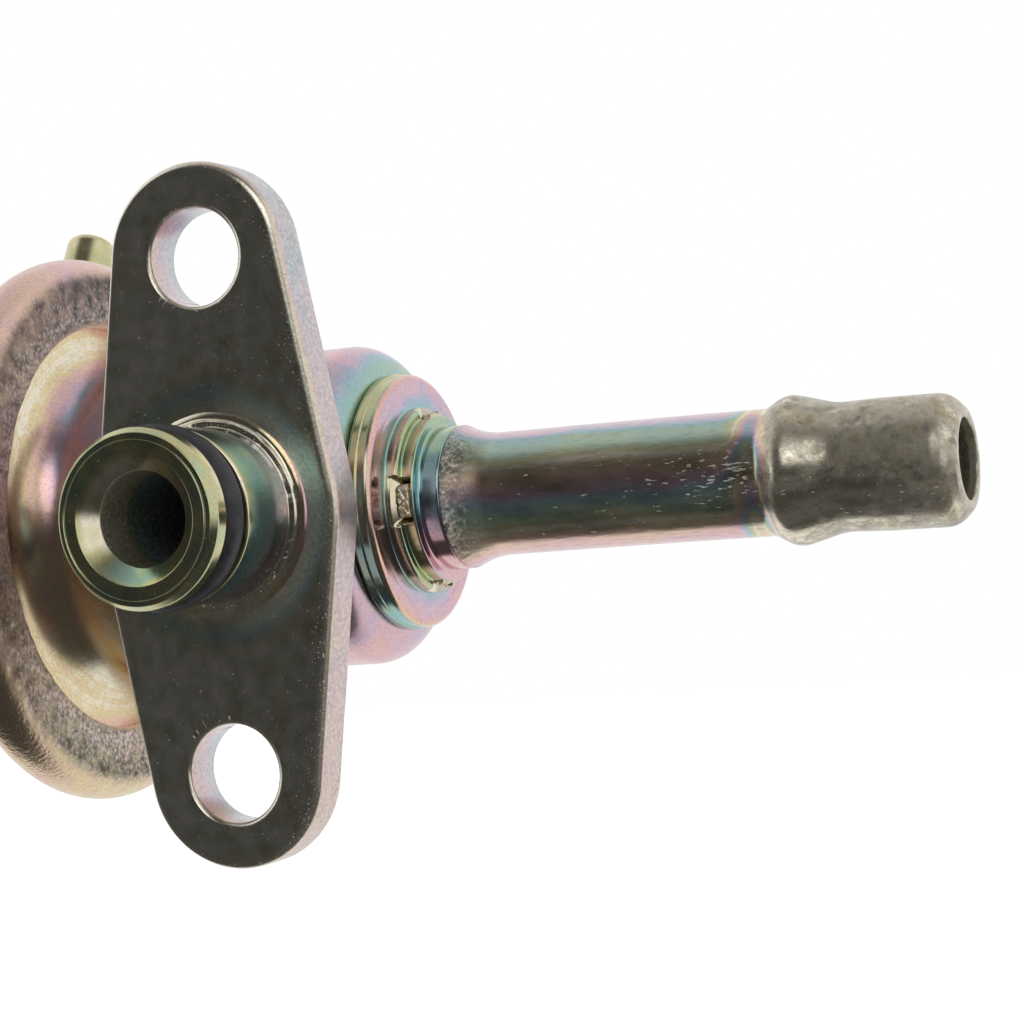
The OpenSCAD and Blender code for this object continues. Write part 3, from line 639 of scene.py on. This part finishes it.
def staked_axis(r, around, x):
    """The main axis with boss and step pressed down to the neck within each window."""
    turn = (around + math.pi / STAKES) % (TURN / STAKES) - math.pi / STAKES
    inside = np.clip((WINDOW_W / 2 - np.abs(turn) * BOSS_R) / 0.12, 0, 1)
    for depth in (x - WINDOW_BACK, WINDOW_FRONT - x):
        inside = inside * np.clip(depth / WINDOW_EDGE, 0, 1)
    boss = (r > NECK_R) & (r <= BOSS_R + 0.01) & (x < STEP_FRONT + 0.01)
    return main_axis(np.where(boss, r + (NECK_R - r) * inside, r), around, x)


def fitting_film(r, around, x):
    """Blue, lavender and gold out over the collar's face, green on its side, olive on the steps, and green to
    rose down the neck."""
    face = np.interp(r, [BOSS_R, 7.5, 8.4, COLLAR_R], [0.6, 0.45, 0.4, 0.1]) + 0.05 * np.cos(around)
    side = 0.8 + 0.1 * np.cos(around)
    steps = 0.88 + 0.1 * np.sin(7 * x)
    neck = 0.56 + 0.22 * np.cos(around)
    ring = np.where(x < COLLAR_FRONT - 0.3, side, face)
    return np.where(r > BOSS_R + 0.05, ring, np.where(x > STEP_FRONT - 0.02, neck, steps))


add_lathe("staked_return_fitting", fitting, staked_axis, ZINC, ["return_fitting"], {"film": fitting_film},
          turns=480)

# %% [markdown]
# ## Torn slugs
#
# The punch leaves a slug of torn metal in each window. All four are one piece: pillows that are nearly flat
# on top and fall off steeply to their sides, roughened by the same crinkle as the crimp, each over a floor.

# %% Torn slugs
SLUG_W, SLUG_TOP, SLUG_FLOOR, SLUG_GAP = 3.0, 5.9, NECK_R - 0.1, 0.06
SLUG_ROUGH, SLUG_CELLS, SLUG_SEED = 0.12, 40, 6


def slug(turn, rows=40, cols=24):
    """A pillow in a window: height falls off as an eighth power to its four sides, plus crinkle."""
    u, v = np.meshgrid(np.linspace(-1, 1, rows), np.linspace(-1, 1, cols), indexing="ij")
    top = (1 - u ** 8) * (1 - v ** 8)
    rough = crinkle(u + 1.5 + turn, v * 4 + 8, SLUG_CELLS, SLUG_SEED)
    r = SLUG_FLOOR + (SLUG_TOP - NECK_R + 0.1 + SLUG_ROUGH * rough) * top
    x = WINDOW_BACK + SLUG_GAP + (WINDOW_FRONT - WINDOW_BACK - 2 * SLUG_GAP) * (v + 1) / 2
    return r, turn + u * SLUG_W / 2 / BOSS_R, x


r, a, x = (np.stack(parts) for parts in zip(*(slug(k * TURN / STAKES) for k in range(STAKES))))
points, low = (main_axis(radius, a, x).reshape(-1, 3) for radius in (r, np.full_like(r, SLUG_FLOOR)))
rows, cols = r.shape[1:]
i, j = np.meshgrid(np.arange(rows - 1), np.arange(cols - 1), indexing="ij")
first = i * cols + j
top = np.stack([first, first + cols, first + cols + 1, first + 1], -1).reshape(-1, 4)
quads = np.concatenate([top + k * rows * cols for k in range(STAKES)])
slug_looks = {"film": 0.1, "wear": 0.2, "chalk": 0.12, "dull": 0.4}
skin("torn_stake_slugs", np.concatenate([points, low]), np.concatenate([quads, quads + len(points)]),
     slug_looks, ZINC, ["return_fitting"])

# %% [markdown]
# ## Inlet spigot and seal
#
# The spigot is turned, with a bevelled mouth, a groove for the seal and a fine tool line on its end face. It
# is brazed into the flange, and the filler has run into a narrow bead and a shallow fillet round its foot.
# The seal is a moulded ring, so its profile is a circle carried round the same axis.

# %% Inlet spigot and seal
FILLET_R, BEAD_MID, BEAD_ROUGH, BEAD_CELLS, BEAD_SEED = 7.0, 0.33, 0.035, 90, 7
spigot = [(INLET_R, -ROOT_LEN, 0), (ROOT_R, -ROOT_LEN, 0.1), (ROOT_R, -0.2, 0), (FILLET_R, -0.2, 0),
          (FILLET_R, -0.03, 0), (6.3, 0.1, 0.25), (6.12, 0.28, 0.08), (SPIGOT_R, 0.34, 0.1),
          (SPIGOT_R, GROOVE_BACK, 0.15), (GROOVE_R, GROOVE_BACK, 0.2), (GROOVE_R, GROOVE_FRONT, 0.2),
          (SPIGOT_R, GROOVE_FRONT, 0.25), (SPIGOT_R, SPIGOT_LEN - 0.55, 0.3), (5.4, SPIGOT_LEN, 0.12),
          (5.1, SPIGOT_LEN, 0.03), (5.03, SPIGOT_LEN - 0.07, 0.03), (4.96, SPIGOT_LEN, 0.03),
          (MOUTH_R, SPIGOT_LEN, 0.06), (INLET_R, SPIGOT_LEN - 1.15, 0.1), (INLET_R, -ROOT_LEN, 0)]


def brazed_axis(r, around, x):
    """The spigot's axis with an uneven brazed bead at the foot and a fillet that is thick on one side."""
    bead = np.clip(1 - np.abs(x - BEAD_MID) / 0.3, 0, 1) * (r > SPIGOT_R + 0.05)
    lumps = BEAD_ROUGH * bead * crinkle(around, x * 3, BEAD_CELLS, BEAD_SEED)
    thick = 0.3 + 1.6 * np.clip(np.sin(around - 0.2), 0, 1) ** 2
    x = x * np.where(x > 0, 1 + (thick - 1) * np.clip((r - 6.2) / 0.3, 0, 1), 1)
    return spigot_axis(r + lumps, around, x + lumps)


def spigot_film(r, around, x):
    """Gold to lavender out over the fillet on its right side only, a painted reflection of a light there,
    straw on the bead, lavender to teal along the shank, olive on the end and straw to teal in the mouth."""
    shank = np.interp(x, [0.6, 2, 4, 5.4, 5.7], [0.5, 0.55, 0.64, 0.7, 0.95]) + 0.03 * np.cos(around)
    # On the right side only, the film runs gold to lavender out over the fillet: painted reflection of a
    # light there.
    foot = np.interp(r, [6.3, 6.6, 7.0, 7.5], [0.0, 0.14, 0.5, 0.9])
    foot = 1.0 + foot * np.clip(np.sin(around), 0, 1) ** 2
    mouth = 1.0 - 0.3 * np.clip(-np.cos(around), 0, 1) ** 2
    end = np.where(r > MOUTH_R - 0.05, 0.84, mouth)
    return np.where(x > SPIGOT_LEN - 1.3, end, np.where((x < 0.5) & (r > SPIGOT_R), foot, shank))


add_lathe("inlet_spigot", spigot, brazed_axis, ZINC, ["inlet_spigot"],
          {"film": spigot_film, "dull": lambda r, a, x: np.where(r < INLET_R + 0.05, 0.5, 0.0),
           "chalk": lambda r, a, x: np.where((x > 0.2) & (x < 0.5) & (r > SPIGOT_R + 0.1), 0.1, 0.0)},
          turns=288)
ring_mid = GROOVE_R + RING_R + 0.03
ring = [(ring_mid + RING_R * math.cos(t), (GROOVE_BACK + GROOVE_FRONT) / 2 + RING_R * math.sin(t), 0)
        for t in np.linspace(0, TURN, 49)]
add_lathe("inlet_seal_ring", ring, spigot_axis, RUBBER, ["inlet_o_ring"], {})

# %% [markdown]
# ## Flange outline
#
# The flange is stamped from plate. The die drags the upper edge down, so the face rolls over into the side,
# wide on the face and shallow on the side, and less into both bolt holes. Its outline is the tight band round
# three discs. A band drawn inwards is the band round three smaller discs, so every ring of the rolled edge is
# the same formula with smaller radii.

# %% Flange outline
ROLL_W, ROLL_D, HOLE_ROLL, BACK_ROLL, SEAT_CUT = 0.8, 0.55, 0.35, 0.2, 5.6
HALF_SPACING, SEAM_IN, SEAM_OUT = HOLE_SPACING / 2, SPIGOT_R + 0.5, MIDDLE_R - 1
TILT = math.asin((MIDDLE_R - LOBE_R) / HALF_SPACING)


def outline(inset, arc=90, straight=60):
    """The band round three discs, drawn in by inset, fully at the tube's side and by a third at the other:
    points (x, z) once round, dealt to arcs and straights."""
    bounds = [(-TILT, TILT, 0), (TILT, math.pi - TILT, 1), (math.pi - TILT, math.pi + TILT, 0),
              (math.pi + TILT, TURN - TILT, -1)]
    arcs = []
    for low, high, lobe in bounds:
        facing = np.linspace(low, high, arc)
        radius = (LOBE_R if lobe else MIDDLE_R) - inset * (0.66 + 0.34 * np.cos(facing))
        arcs.append(np.stack([radius * np.cos(facing), lobe * HALF_SPACING + radius * np.sin(facing)], -1))
    runs = []
    for this, after in zip(arcs, arcs[1:] + arcs[:1]):
        way = np.linspace(0, 1, straight + 2)[1:-1, None]
        runs += [this, this[-1] + (after[0] - this[-1]) * way]
    return np.concatenate(runs)


def notch(side):
    """The edge of the spigot's seat on one half of the plate."""
    turn = np.radians(np.linspace(20, 160, 41))
    return SEAT_CUT * np.stack([np.cos(turn), side * np.sin(turn)], -1)


print("points round the outline:", len(outline(0.0)))

# %% [markdown]
# ## Flange surfaces
#
# Each half of a face lies between a bolt hole and the outline, the seat's edge and the seam of both halves.
# Sorted by angle round the hole, these points make one ring, so the face is ruled along lines from the hole's
# middle. A boolean would leave long thin triangles there, which smooth shading shows.

# %% Flange surfaces
def ring_stack(rings):
    """Points and faces of closed rings joined one to the next."""
    return np.concatenate(rings), grid_faces(len(rings), len(rings[0]))


def half_face(y, side, edge, hole_r, layers=24):
    """The flat between a bolt hole and its half of the outline, ruled along lines from the hole's middle."""
    middle = np.array([0, side * HALF_SPACING])
    run = np.linspace(SEAM_IN, SEAM_OUT, 8)
    seam = np.stack([np.concatenate([-run, run]), np.zeros(16)], -1)
    rim = np.concatenate([edge[edge[:, 1] * side >= -1e-9], notch(side), seam])
    rim = rim[np.argsort(np.arctan2(rim[:, 1] * side - HALF_SPACING, rim[:, 0]))]
    spoke = rim - middle
    inner = middle + spoke / np.linalg.norm(spoke, axis=1)[:, None] * hole_r
    flat = inner + (rim - inner) * np.linspace(0, 1, layers)[:, None, None]
    return np.insert(flat.reshape(-1, 2), 1, y, axis=1), grid_faces(layers, len(rim))


def flange_parts():
    """Side with both edges rolled, the seat's wall, two hole walls and two halves of each face."""
    t = np.linspace(0, math.pi / 2, 11)
    inset = np.concatenate([ROLL_W * (1 - np.sin(t)), BACK_ROLL * (1 - np.cos(t))])
    depth = np.concatenate([ROLL_D * (1 - np.cos(t)), FLANGE_T - BACK_ROLL * (1 - np.sin(t))])
    yield ring_stack([np.insert(outline(i), 1, y, axis=1) for i, y in zip(inset, depth)])
    reach = np.array([[SEAM_IN, 0.0]])
    seat = np.concatenate([reach, notch(1), -reach, notch(-1)[::-1]])
    yield ring_stack([np.insert(seat, 1, y, axis=1) for y in (0.0, FLANGE_T)])
    around = np.linspace(0, TURN, 160, endpoint=False)
    circle = np.stack([np.cos(around), np.sin(around)], -1)
    wall_r = np.append(HOLE_R + HOLE_ROLL * (1 - np.sin(t)), HOLE_R)
    wall_y = np.append(HOLE_ROLL * (1 - np.cos(t)), FLANGE_T)
    for side in (-1, 1):
        shift = np.array([0, side * HALF_SPACING])
        yield ring_stack([np.insert(circle * r + shift, 1, y, axis=1) for r, y in zip(wall_r, wall_y)])
        yield half_face(0.0, side, outline(ROLL_W), HOLE_R + HOLE_ROLL)
        yield half_face(FLANGE_T, side, outline(BACK_ROLL), HOLE_R)


parts = list(flange_parts())
starts = np.cumsum([0] + [len(p) for p, _ in parts[:-1]])
points = np.concatenate([p for p, _ in parts])
faces = np.concatenate([f + s for (_, f), s in zip(parts, starts)])
print("surfaces of the flange:", len(parts))

# %% [markdown]
# ## Flange finish
#
# The face is plain plate, pale and glossy, with a ring of olive and teal round the brazed spigot, a painted
# reflection of the spigot and of a soft light in the plate. The side is duller and runs from lavender above
# to rose below. Specks lie along the edge towards the tube.

# %% Flange finish
px, py, pz = points.T
depth = np.clip(py / ROLL_D, 0, 1)
to_hole = np.hypot(px, np.abs(pz) - HALF_SPACING)
to_foot = np.hypot(px, pz)
wall = np.where(to_hole < HOLE_R + 0.5, 0.6, 0.42 + 0.006 * pz)
# A ring of teal in the face's film round the spigot's foot: painted reflection of the spigot and of a soft
# light in the plate.
glow = -0.27 * np.exp(-((to_foot - 8.0) / 0.8) ** 2)
shine = 0.35 * np.exp(-((to_foot - 7.4) / 0.9) ** 2) * np.clip(px / 6, 0, 1)
rubbed_edge = np.exp(-((px - np.interp(np.abs(pz), [0, 17, 23], [8.6, 5.9, 4])) / 1.0) ** 2)
side_dull = 0.3 * depth * (py < FLANGE_T - BACK_ROLL / 2)
flange_looks = {"film": 0.95 + glow * (1 - depth) + (wall + 0.05) * depth, "wear": 0.1 + 0.08 * rubbed_edge,
                "chalk": 0.015 + 0.05 * rubbed_edge, "dull": side_dull + shine * (1 - depth)}
skin("stamped_flange", points, faces, flange_looks, PLATE, ["mounting_flange"])

# %% [markdown]
# ## Vacuum nipple
#
# The nipple leans back from the flange and is brazed to the cup. Its foot is a saddle: the same fillet all
# round, lifted onto the round of the cup.

# %% Vacuum nipple
NIPPLE_ROOT, NIPPLE_FOOT, FOOT_IN, FOOT_OUT = 10.9, 14.2, NIPPLE_R - 0.2, NIPPLE_R + 0.95
nipple = [(NIPPLE_BORE, NIPPLE_ROOT, 0), (NIPPLE_R, NIPPLE_ROOT, 0), (NIPPLE_R, NIPPLE_FOOT, 0.2),
          (NIPPLE_R, NIPPLE_TIP, 0.7), (NIPPLE_BORE, NIPPLE_TIP, 0.3), (NIPPLE_BORE, NIPPLE_ROOT, 0)]
foot = [(FOOT_IN, -0.3, 0), (FOOT_OUT, -0.3, 0), (FOOT_OUT, 0.02, 0), (NIPPLE_R + 0.35, 0.25, 0.4),
        (NIPPLE_R, 1.0, 0.2), (FOOT_IN, 1.0, 0), (FOOT_IN, -0.3, 0)]
add_lathe("vacuum_nipple", nipple, nipple_axis, ZINC, ["vacuum_nipple"], {"film": 0.92, "wear": 0.2},
          turns=96)
add_lathe("brazed_nipple_foot", foot, saddle_axis, CUP, ["vacuum_nipple"], {"film": 0.1, "wear": 0.2},
          turns=96)

# %% [markdown]
# ## Springs
#
# Both springs are round wire wound with one closed turn at each end. The main spring stands between its seat
# in the cup and the valve's plate, which shortens it as the valve lifts, but here it is made at one length. A
# curve with a bevel would give the same coil, but a grid keeps the closed ends flat and needs no conversion.

# %% Springs
LIFT, COIL_GAP, CLOSED, WIRE_SIDES, TURN_STEPS = 1.0, 0.06, 1.06, 24, 72
MAIN_COIL_R, MAIN_WIRE, MAIN_TURNS, MAIN_BACK, MAIN_FRONT = 7.0, 2.0, 6.5, -38.7, -19.7
BALL_COIL_R, BALL_WIRE, BALL_TURNS, BALL_BACK, BALL_FRONT = 1.225, 0.5, 5, -18.7, -14.49


def add_coil(name, mean_r, wire, back, front, turns, body):
    """A circle carried up a helix whose pitch is one wire in both end turns and even between them."""
    closed, rise = CLOSED * wire, front - back - 2 * COIL_GAP - wire
    turn = np.linspace(0, turns, int(turns * TURN_STEPS) + 1)
    across = np.linspace(0, TURN, WIRE_SIDES, endpoint=False)
    climb = np.interp(turn, [0, 1, turns - 1, turns], [0, closed, rise - closed, rise])
    climb = back + COIL_GAP + wire / 2 + climb
    r = mean_r + wire / 2 * np.cos(across)
    points = main_axis(r, TURN * turn[:, None], climb[:, None] + wire / 2 * np.sin(across)).reshape(-1, 3)
    ends = (range(WIRE_SIDES), range(len(points) - WIRE_SIDES, len(points)))
    return skin(name, points, grid_faces(len(turn), WIRE_SIDES), {}, WIRE, [name], body, ends)


coil = add_coil("main_spring", MAIN_COIL_R, MAIN_WIRE, MAIN_BACK, MAIN_FRONT, MAIN_TURNS, "housing")
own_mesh(coil)
add_coil("ball_spring", BALL_COIL_R, BALL_WIRE, BALL_BACK, BALL_FRONT, BALL_TURNS, "valve")

# %% [markdown]
# ## Diaphragm
#
# The diaphragm is nitrile on woven cloth. The crimp holds its edge, two plates hold its middle, and the round
# fold between them rolls as the valve lifts. The diaphragm is made as twelve closed sectors round the main
# axis.

# %% Diaphragm
SECTORS, SECTOR_ROWS, CLOTH_T, HUB_R, FOLD_R, FOLD_BEND = 12, 9, 0.8, 2.63, 10.9, 1.3
fold_x, fold_in, fold_out = BRIM_BACK - CLOTH_T / 2, FOLD_BEND - CLOTH_T / 2, FOLD_BEND + CLOTH_T / 2
half_turn, leave = np.linspace(math.pi, TURN, 25), math.asin(CLOTH_T / 2 / fold_out)
under = np.linspace(TURN - leave, math.pi + leave, 25)
loop = np.concatenate([
    [(HUB_R, BRIM_BACK), (FOLD_R - fold_in, BRIM_BACK)],
    np.stack([FOLD_R + fold_in * np.cos(half_turn), fold_x + fold_in * np.sin(half_turn)], -1),
    [(FOLD_R + fold_in, BRIM_BACK), (BRIM_R, BRIM_BACK), (BRIM_R, SEAT_BACK)],
    np.stack([FOLD_R + fold_out * np.cos(under), fold_x + fold_out * np.sin(under)], -1),
    [(HUB_R, SEAT_BACK)]])
span, edge = TURN / SECTORS, len(loop)
held, lifted = (FOLD_R + fold_in) * math.cos(span / 2), FOLD_R - fold_in
ends = (range(edge), range((SECTOR_ROWS - 1) * edge, SECTOR_ROWS * edge))
for number in range(SECTORS):
    around = (number + np.linspace(0, 1, SECTOR_ROWS)[:, None]) * span
    points = main_axis(loop[:, 0], around, np.broadcast_to(loop[:, 1], (SECTOR_ROWS, edge))).reshape(-1, 3)
    sector = skin(f"diaphragm_sector_{number + 1}", points, grid_faces(SECTOR_ROWS, edge), {}, CLOTH,
                  ["diaphragm"], None, ends)
    middle = (number + 0.5) * span
    main_axis(held, middle, fold_x) * MM
    main_axis(lifted, middle, fold_x) * MM
    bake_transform(sector)

# %% [markdown]
# ## Inner pieces
#
# Seat, ball, retainer, holder and plates are plain turned parts that no one sees in a whole regulator. The
# solid model already has their true shapes, so they stay as they are and get the finish of turned steel.

# %% Inner pieces
INNER = ("valve_seat", "valve_ball", "ball_retainer", "valve_holder", "fuel_side_plate", "spring_plate",
         "spring_seat")
for label in INNER:
    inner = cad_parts[label]
    inner.data.materials.clear()
    inner.data.materials.append(STEEL)
print("inner pieces in turned steel:", len(INNER))

# %% [markdown]
# ## Dark room
#
# The regulator hangs before a white sweep over a pale table. The side towards the camera is a dark room,
# which is what polished metal needs to read as metal. Lamps and cards could do this, but a world that looks
# at the direction alone has no hard edges.

# %% Dark room
ROOM_AZ, ROOM_LEVEL = math.radians(-22.7), 0.042
ROOM_WAY, AHEAD = (math.sin(ROOM_AZ), -math.cos(ROOM_AZ), 0), (0, -1, 0)
DOT = {"operation": "DOT_PRODUCT"}
scene = bpy.context.scene
world = bpy.data.worlds.new("studio")
scene.world = world
world.use_nodes = True
tree = world.node_tree
tree.nodes.clear()
direction = add(tree, "TexCoord", out="Generated")
level = add(tree, "VectorMath", TIMES, i0=direction, i1=(1, 1, 0))
level = add(tree, "VectorMath", {"operation": "NORMALIZE"}, i0=level)
facing = add(tree, "VectorMath", DOT, "Value", i0=level, i1=ROOM_WAY)
in_room = add(tree, "MapRange", EASED, Value=facing, From_Min=0.90, From_Max=0.955)
x, y, z = (add(tree, "SeparateXYZ", out=k, Vector=direction) for k in "XYZ")
ahead = add(tree, "VectorMath", DOT, "Value", i0=level, i1=AHEAD)
ahead = add(tree, "MapRange", EASED, Value=ahead, From_Min=0.7, From_Max=0.78)
eye_level = add(tree, "MapRange", EASED, Value=z, From_Min=0.3, From_Max=0.16)
ahead = add(tree, "Math", TIMES, i0=ahead, i1=eye_level)
ceiling = add(tree, "MapRange", EASED, Value=z, From_Min=0.85, From_Max=0.6)
in_room = add(tree, "Math", TIMES, i0=in_room, i1=ceiling)
in_room = add(tree, "Math", LARGER, i0=in_room, i1=ahead)
print("nodes of the dark room:", len(tree.nodes))

# %% [markdown]
# ## Studio light
#
# Behind and beside the part the paper is bright, and overhead it dims towards the front. One soft window high
# in front gives rounded edges their glints. Metal sees the table only far back, because in the studio its
# near edge ends below the part. To the camera itself the sweep is plain white.

# %% Studio light
OVERHEAD_FRONT, OVERHEAD, TABLE_EDGE, TABLE_LEVEL = 0.1, 0.75, 0.194, 0.02
WINDOW, WINDOW_LEVEL = (0.25, -0.83, 0.5), 1.6
window = add(tree, "VectorMath", DOT, "Value", i0=direction, i1=WINDOW)
window = add(tree, "MapRange", EASED, Value=window, From_Min=0.93, From_Max=0.98, To_Max=WINDOW_LEVEL)
overhead = add(tree, "MapRange", EASED, Value=y, From_Min=-0.48, From_Max=0.05, To_Min=OVERHEAD_FRONT,
               To_Max=OVERHEAD)
aside = add(tree, "Math", {"operation": "ABSOLUTE"}, i0=x)
aside = add(tree, "Math", LARGER, i0=aside, i1=y)
aside = add(tree, "MapRange", EASED, Value=aside, From_Min=0.3, From_Max=0.75, To_Min=overhead, To_Max=1.0)
upper = add(tree, "Mix", i0=in_room, i2=aside, i3=0.0)
table = add(tree, "Math", SCALE_ADD, i0=z, i1=TABLE_EDGE, i2=y)
table = add(tree, "MapRange", EASED, Value=table, From_Min=0.0, From_Max=0.16, To_Min=TABLE_LEVEL)
above = add(tree, "MapRange", EASED, Value=z, From_Min=-0.3, From_Max=0.02)
studio = add(tree, "Mix", i0=above, i2=table, i3=upper)
studio = add(tree, "MapRange", Value=studio, To_Min=ROOM_LEVEL, To_Max=1.0)
studio = add(tree, "Math", LARGER, i0=studio, i1=window)
seen = add(tree, "LightPath", out="Is Camera Ray")
studio = add(tree, "Mix", i0=seen, i2=studio, i3=1.0)
background = add(tree, "Background", Color=(1, 1, 1, 1), Strength=studio)
add(tree, "OutputWorld", Surface=background)
print("nodes of the whole studio:", len(tree.nodes))

# %% [markdown]
# ## Floor
#
# The table is pale paper, far enough below that the shadow on it stays soft. It glows a little for the camera
# alone, to meet the white sweep, and is kept out of reflections, which already have the studio's table.

# %% Floor
FLOOR_Z, FLOOR_HALF, FLOOR_LIFT = -0.07, 0.8, 0.6
paper, tree = new_material("matt_white_paper")
seen = add(tree, "LightPath", out="Is Camera Ray")
lift = add(tree, "Math", TIMES, i0=seen, i1=FLOOR_LIFT)
matt = add(tree, "BsdfDiffuse", Color=linear("#f1f0ee"))
glow = add(tree, "Emission", Color=(1, 1, 1, 1), Strength=lift)
add(tree, "OutputMaterial", Surface=add(tree, "AddShader", i0=matt, i1=glow))
corners = np.array([(-1, -1), (1, -1), (1, 1), (-1, 1)]) * FLOOR_HALF
floor_mesh = bpy.data.meshes.new("floor")
floor_mesh.from_pydata(np.insert(corners, 2, FLOOR_Z, axis=1).tolist(), [], [(0, 1, 2, 3)])
floor_mesh.materials.append(paper)
floor = bpy.data.objects.new("floor", floor_mesh)
scene.collection.objects.link(floor)
floor.visible_glossy = False
floor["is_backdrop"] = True
print("floor at", FLOOR_Z, "m")

# %% [markdown]
# ## Camera
#
# The camera stands where the photograph was taken: a little to the tube's side, level with the part, close
# enough for the near end to loom, and rolled by a few degrees.

# %% Camera
CAMERA_AZ, CAMERA_EL, CAMERA_ROLL = math.radians(22.69), math.radians(-0.42), math.radians(-4.58)
CAMERA_AWAY, AIM = 161.9, np.array([21.05, 0.0, -1.27])
SENSOR_MM, LENS_MM, CLIP_START = 36, 91.59, 0.01
back = np.array([math.sin(CAMERA_AZ) * math.cos(CAMERA_EL), -math.cos(CAMERA_AZ) * math.cos(CAMERA_EL),
                 math.sin(CAMERA_EL)])
level_right = np.array([math.cos(CAMERA_AZ), math.sin(CAMERA_AZ), 0])
right = math.cos(CAMERA_ROLL) * level_right + math.sin(CAMERA_ROLL) * np.cross(back, level_right)
up, eye = np.cross(back, right), AIM + CAMERA_AWAY * back
camera_data = bpy.data.cameras.new("camera")
camera_data.sensor_width, camera_data.lens, camera_data.clip_start = SENSOR_MM, LENS_MM, CLIP_START
camera = bpy.data.objects.new("camera", camera_data)
scene.collection.objects.link(camera)
camera.matrix_world = Matrix([[right[k], up[k], back[k], eye[k] * MM] for k in range(3)] + [[0, 0, 0, 1]])
scene.camera = camera
scene.view_settings.view_transform = "Standard"
print("camera at", eye.round(1), "mm")

# %% [markdown]
# ## Size
#
# The box of the solid model was taken right after loading. The box of the dressed part should match it.

# %% Size
low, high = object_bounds()
boxes = {"cad_m": [list(cad_low), list(cad_high)], "visual_m": [list(low), list(high)]}
print(boxes)
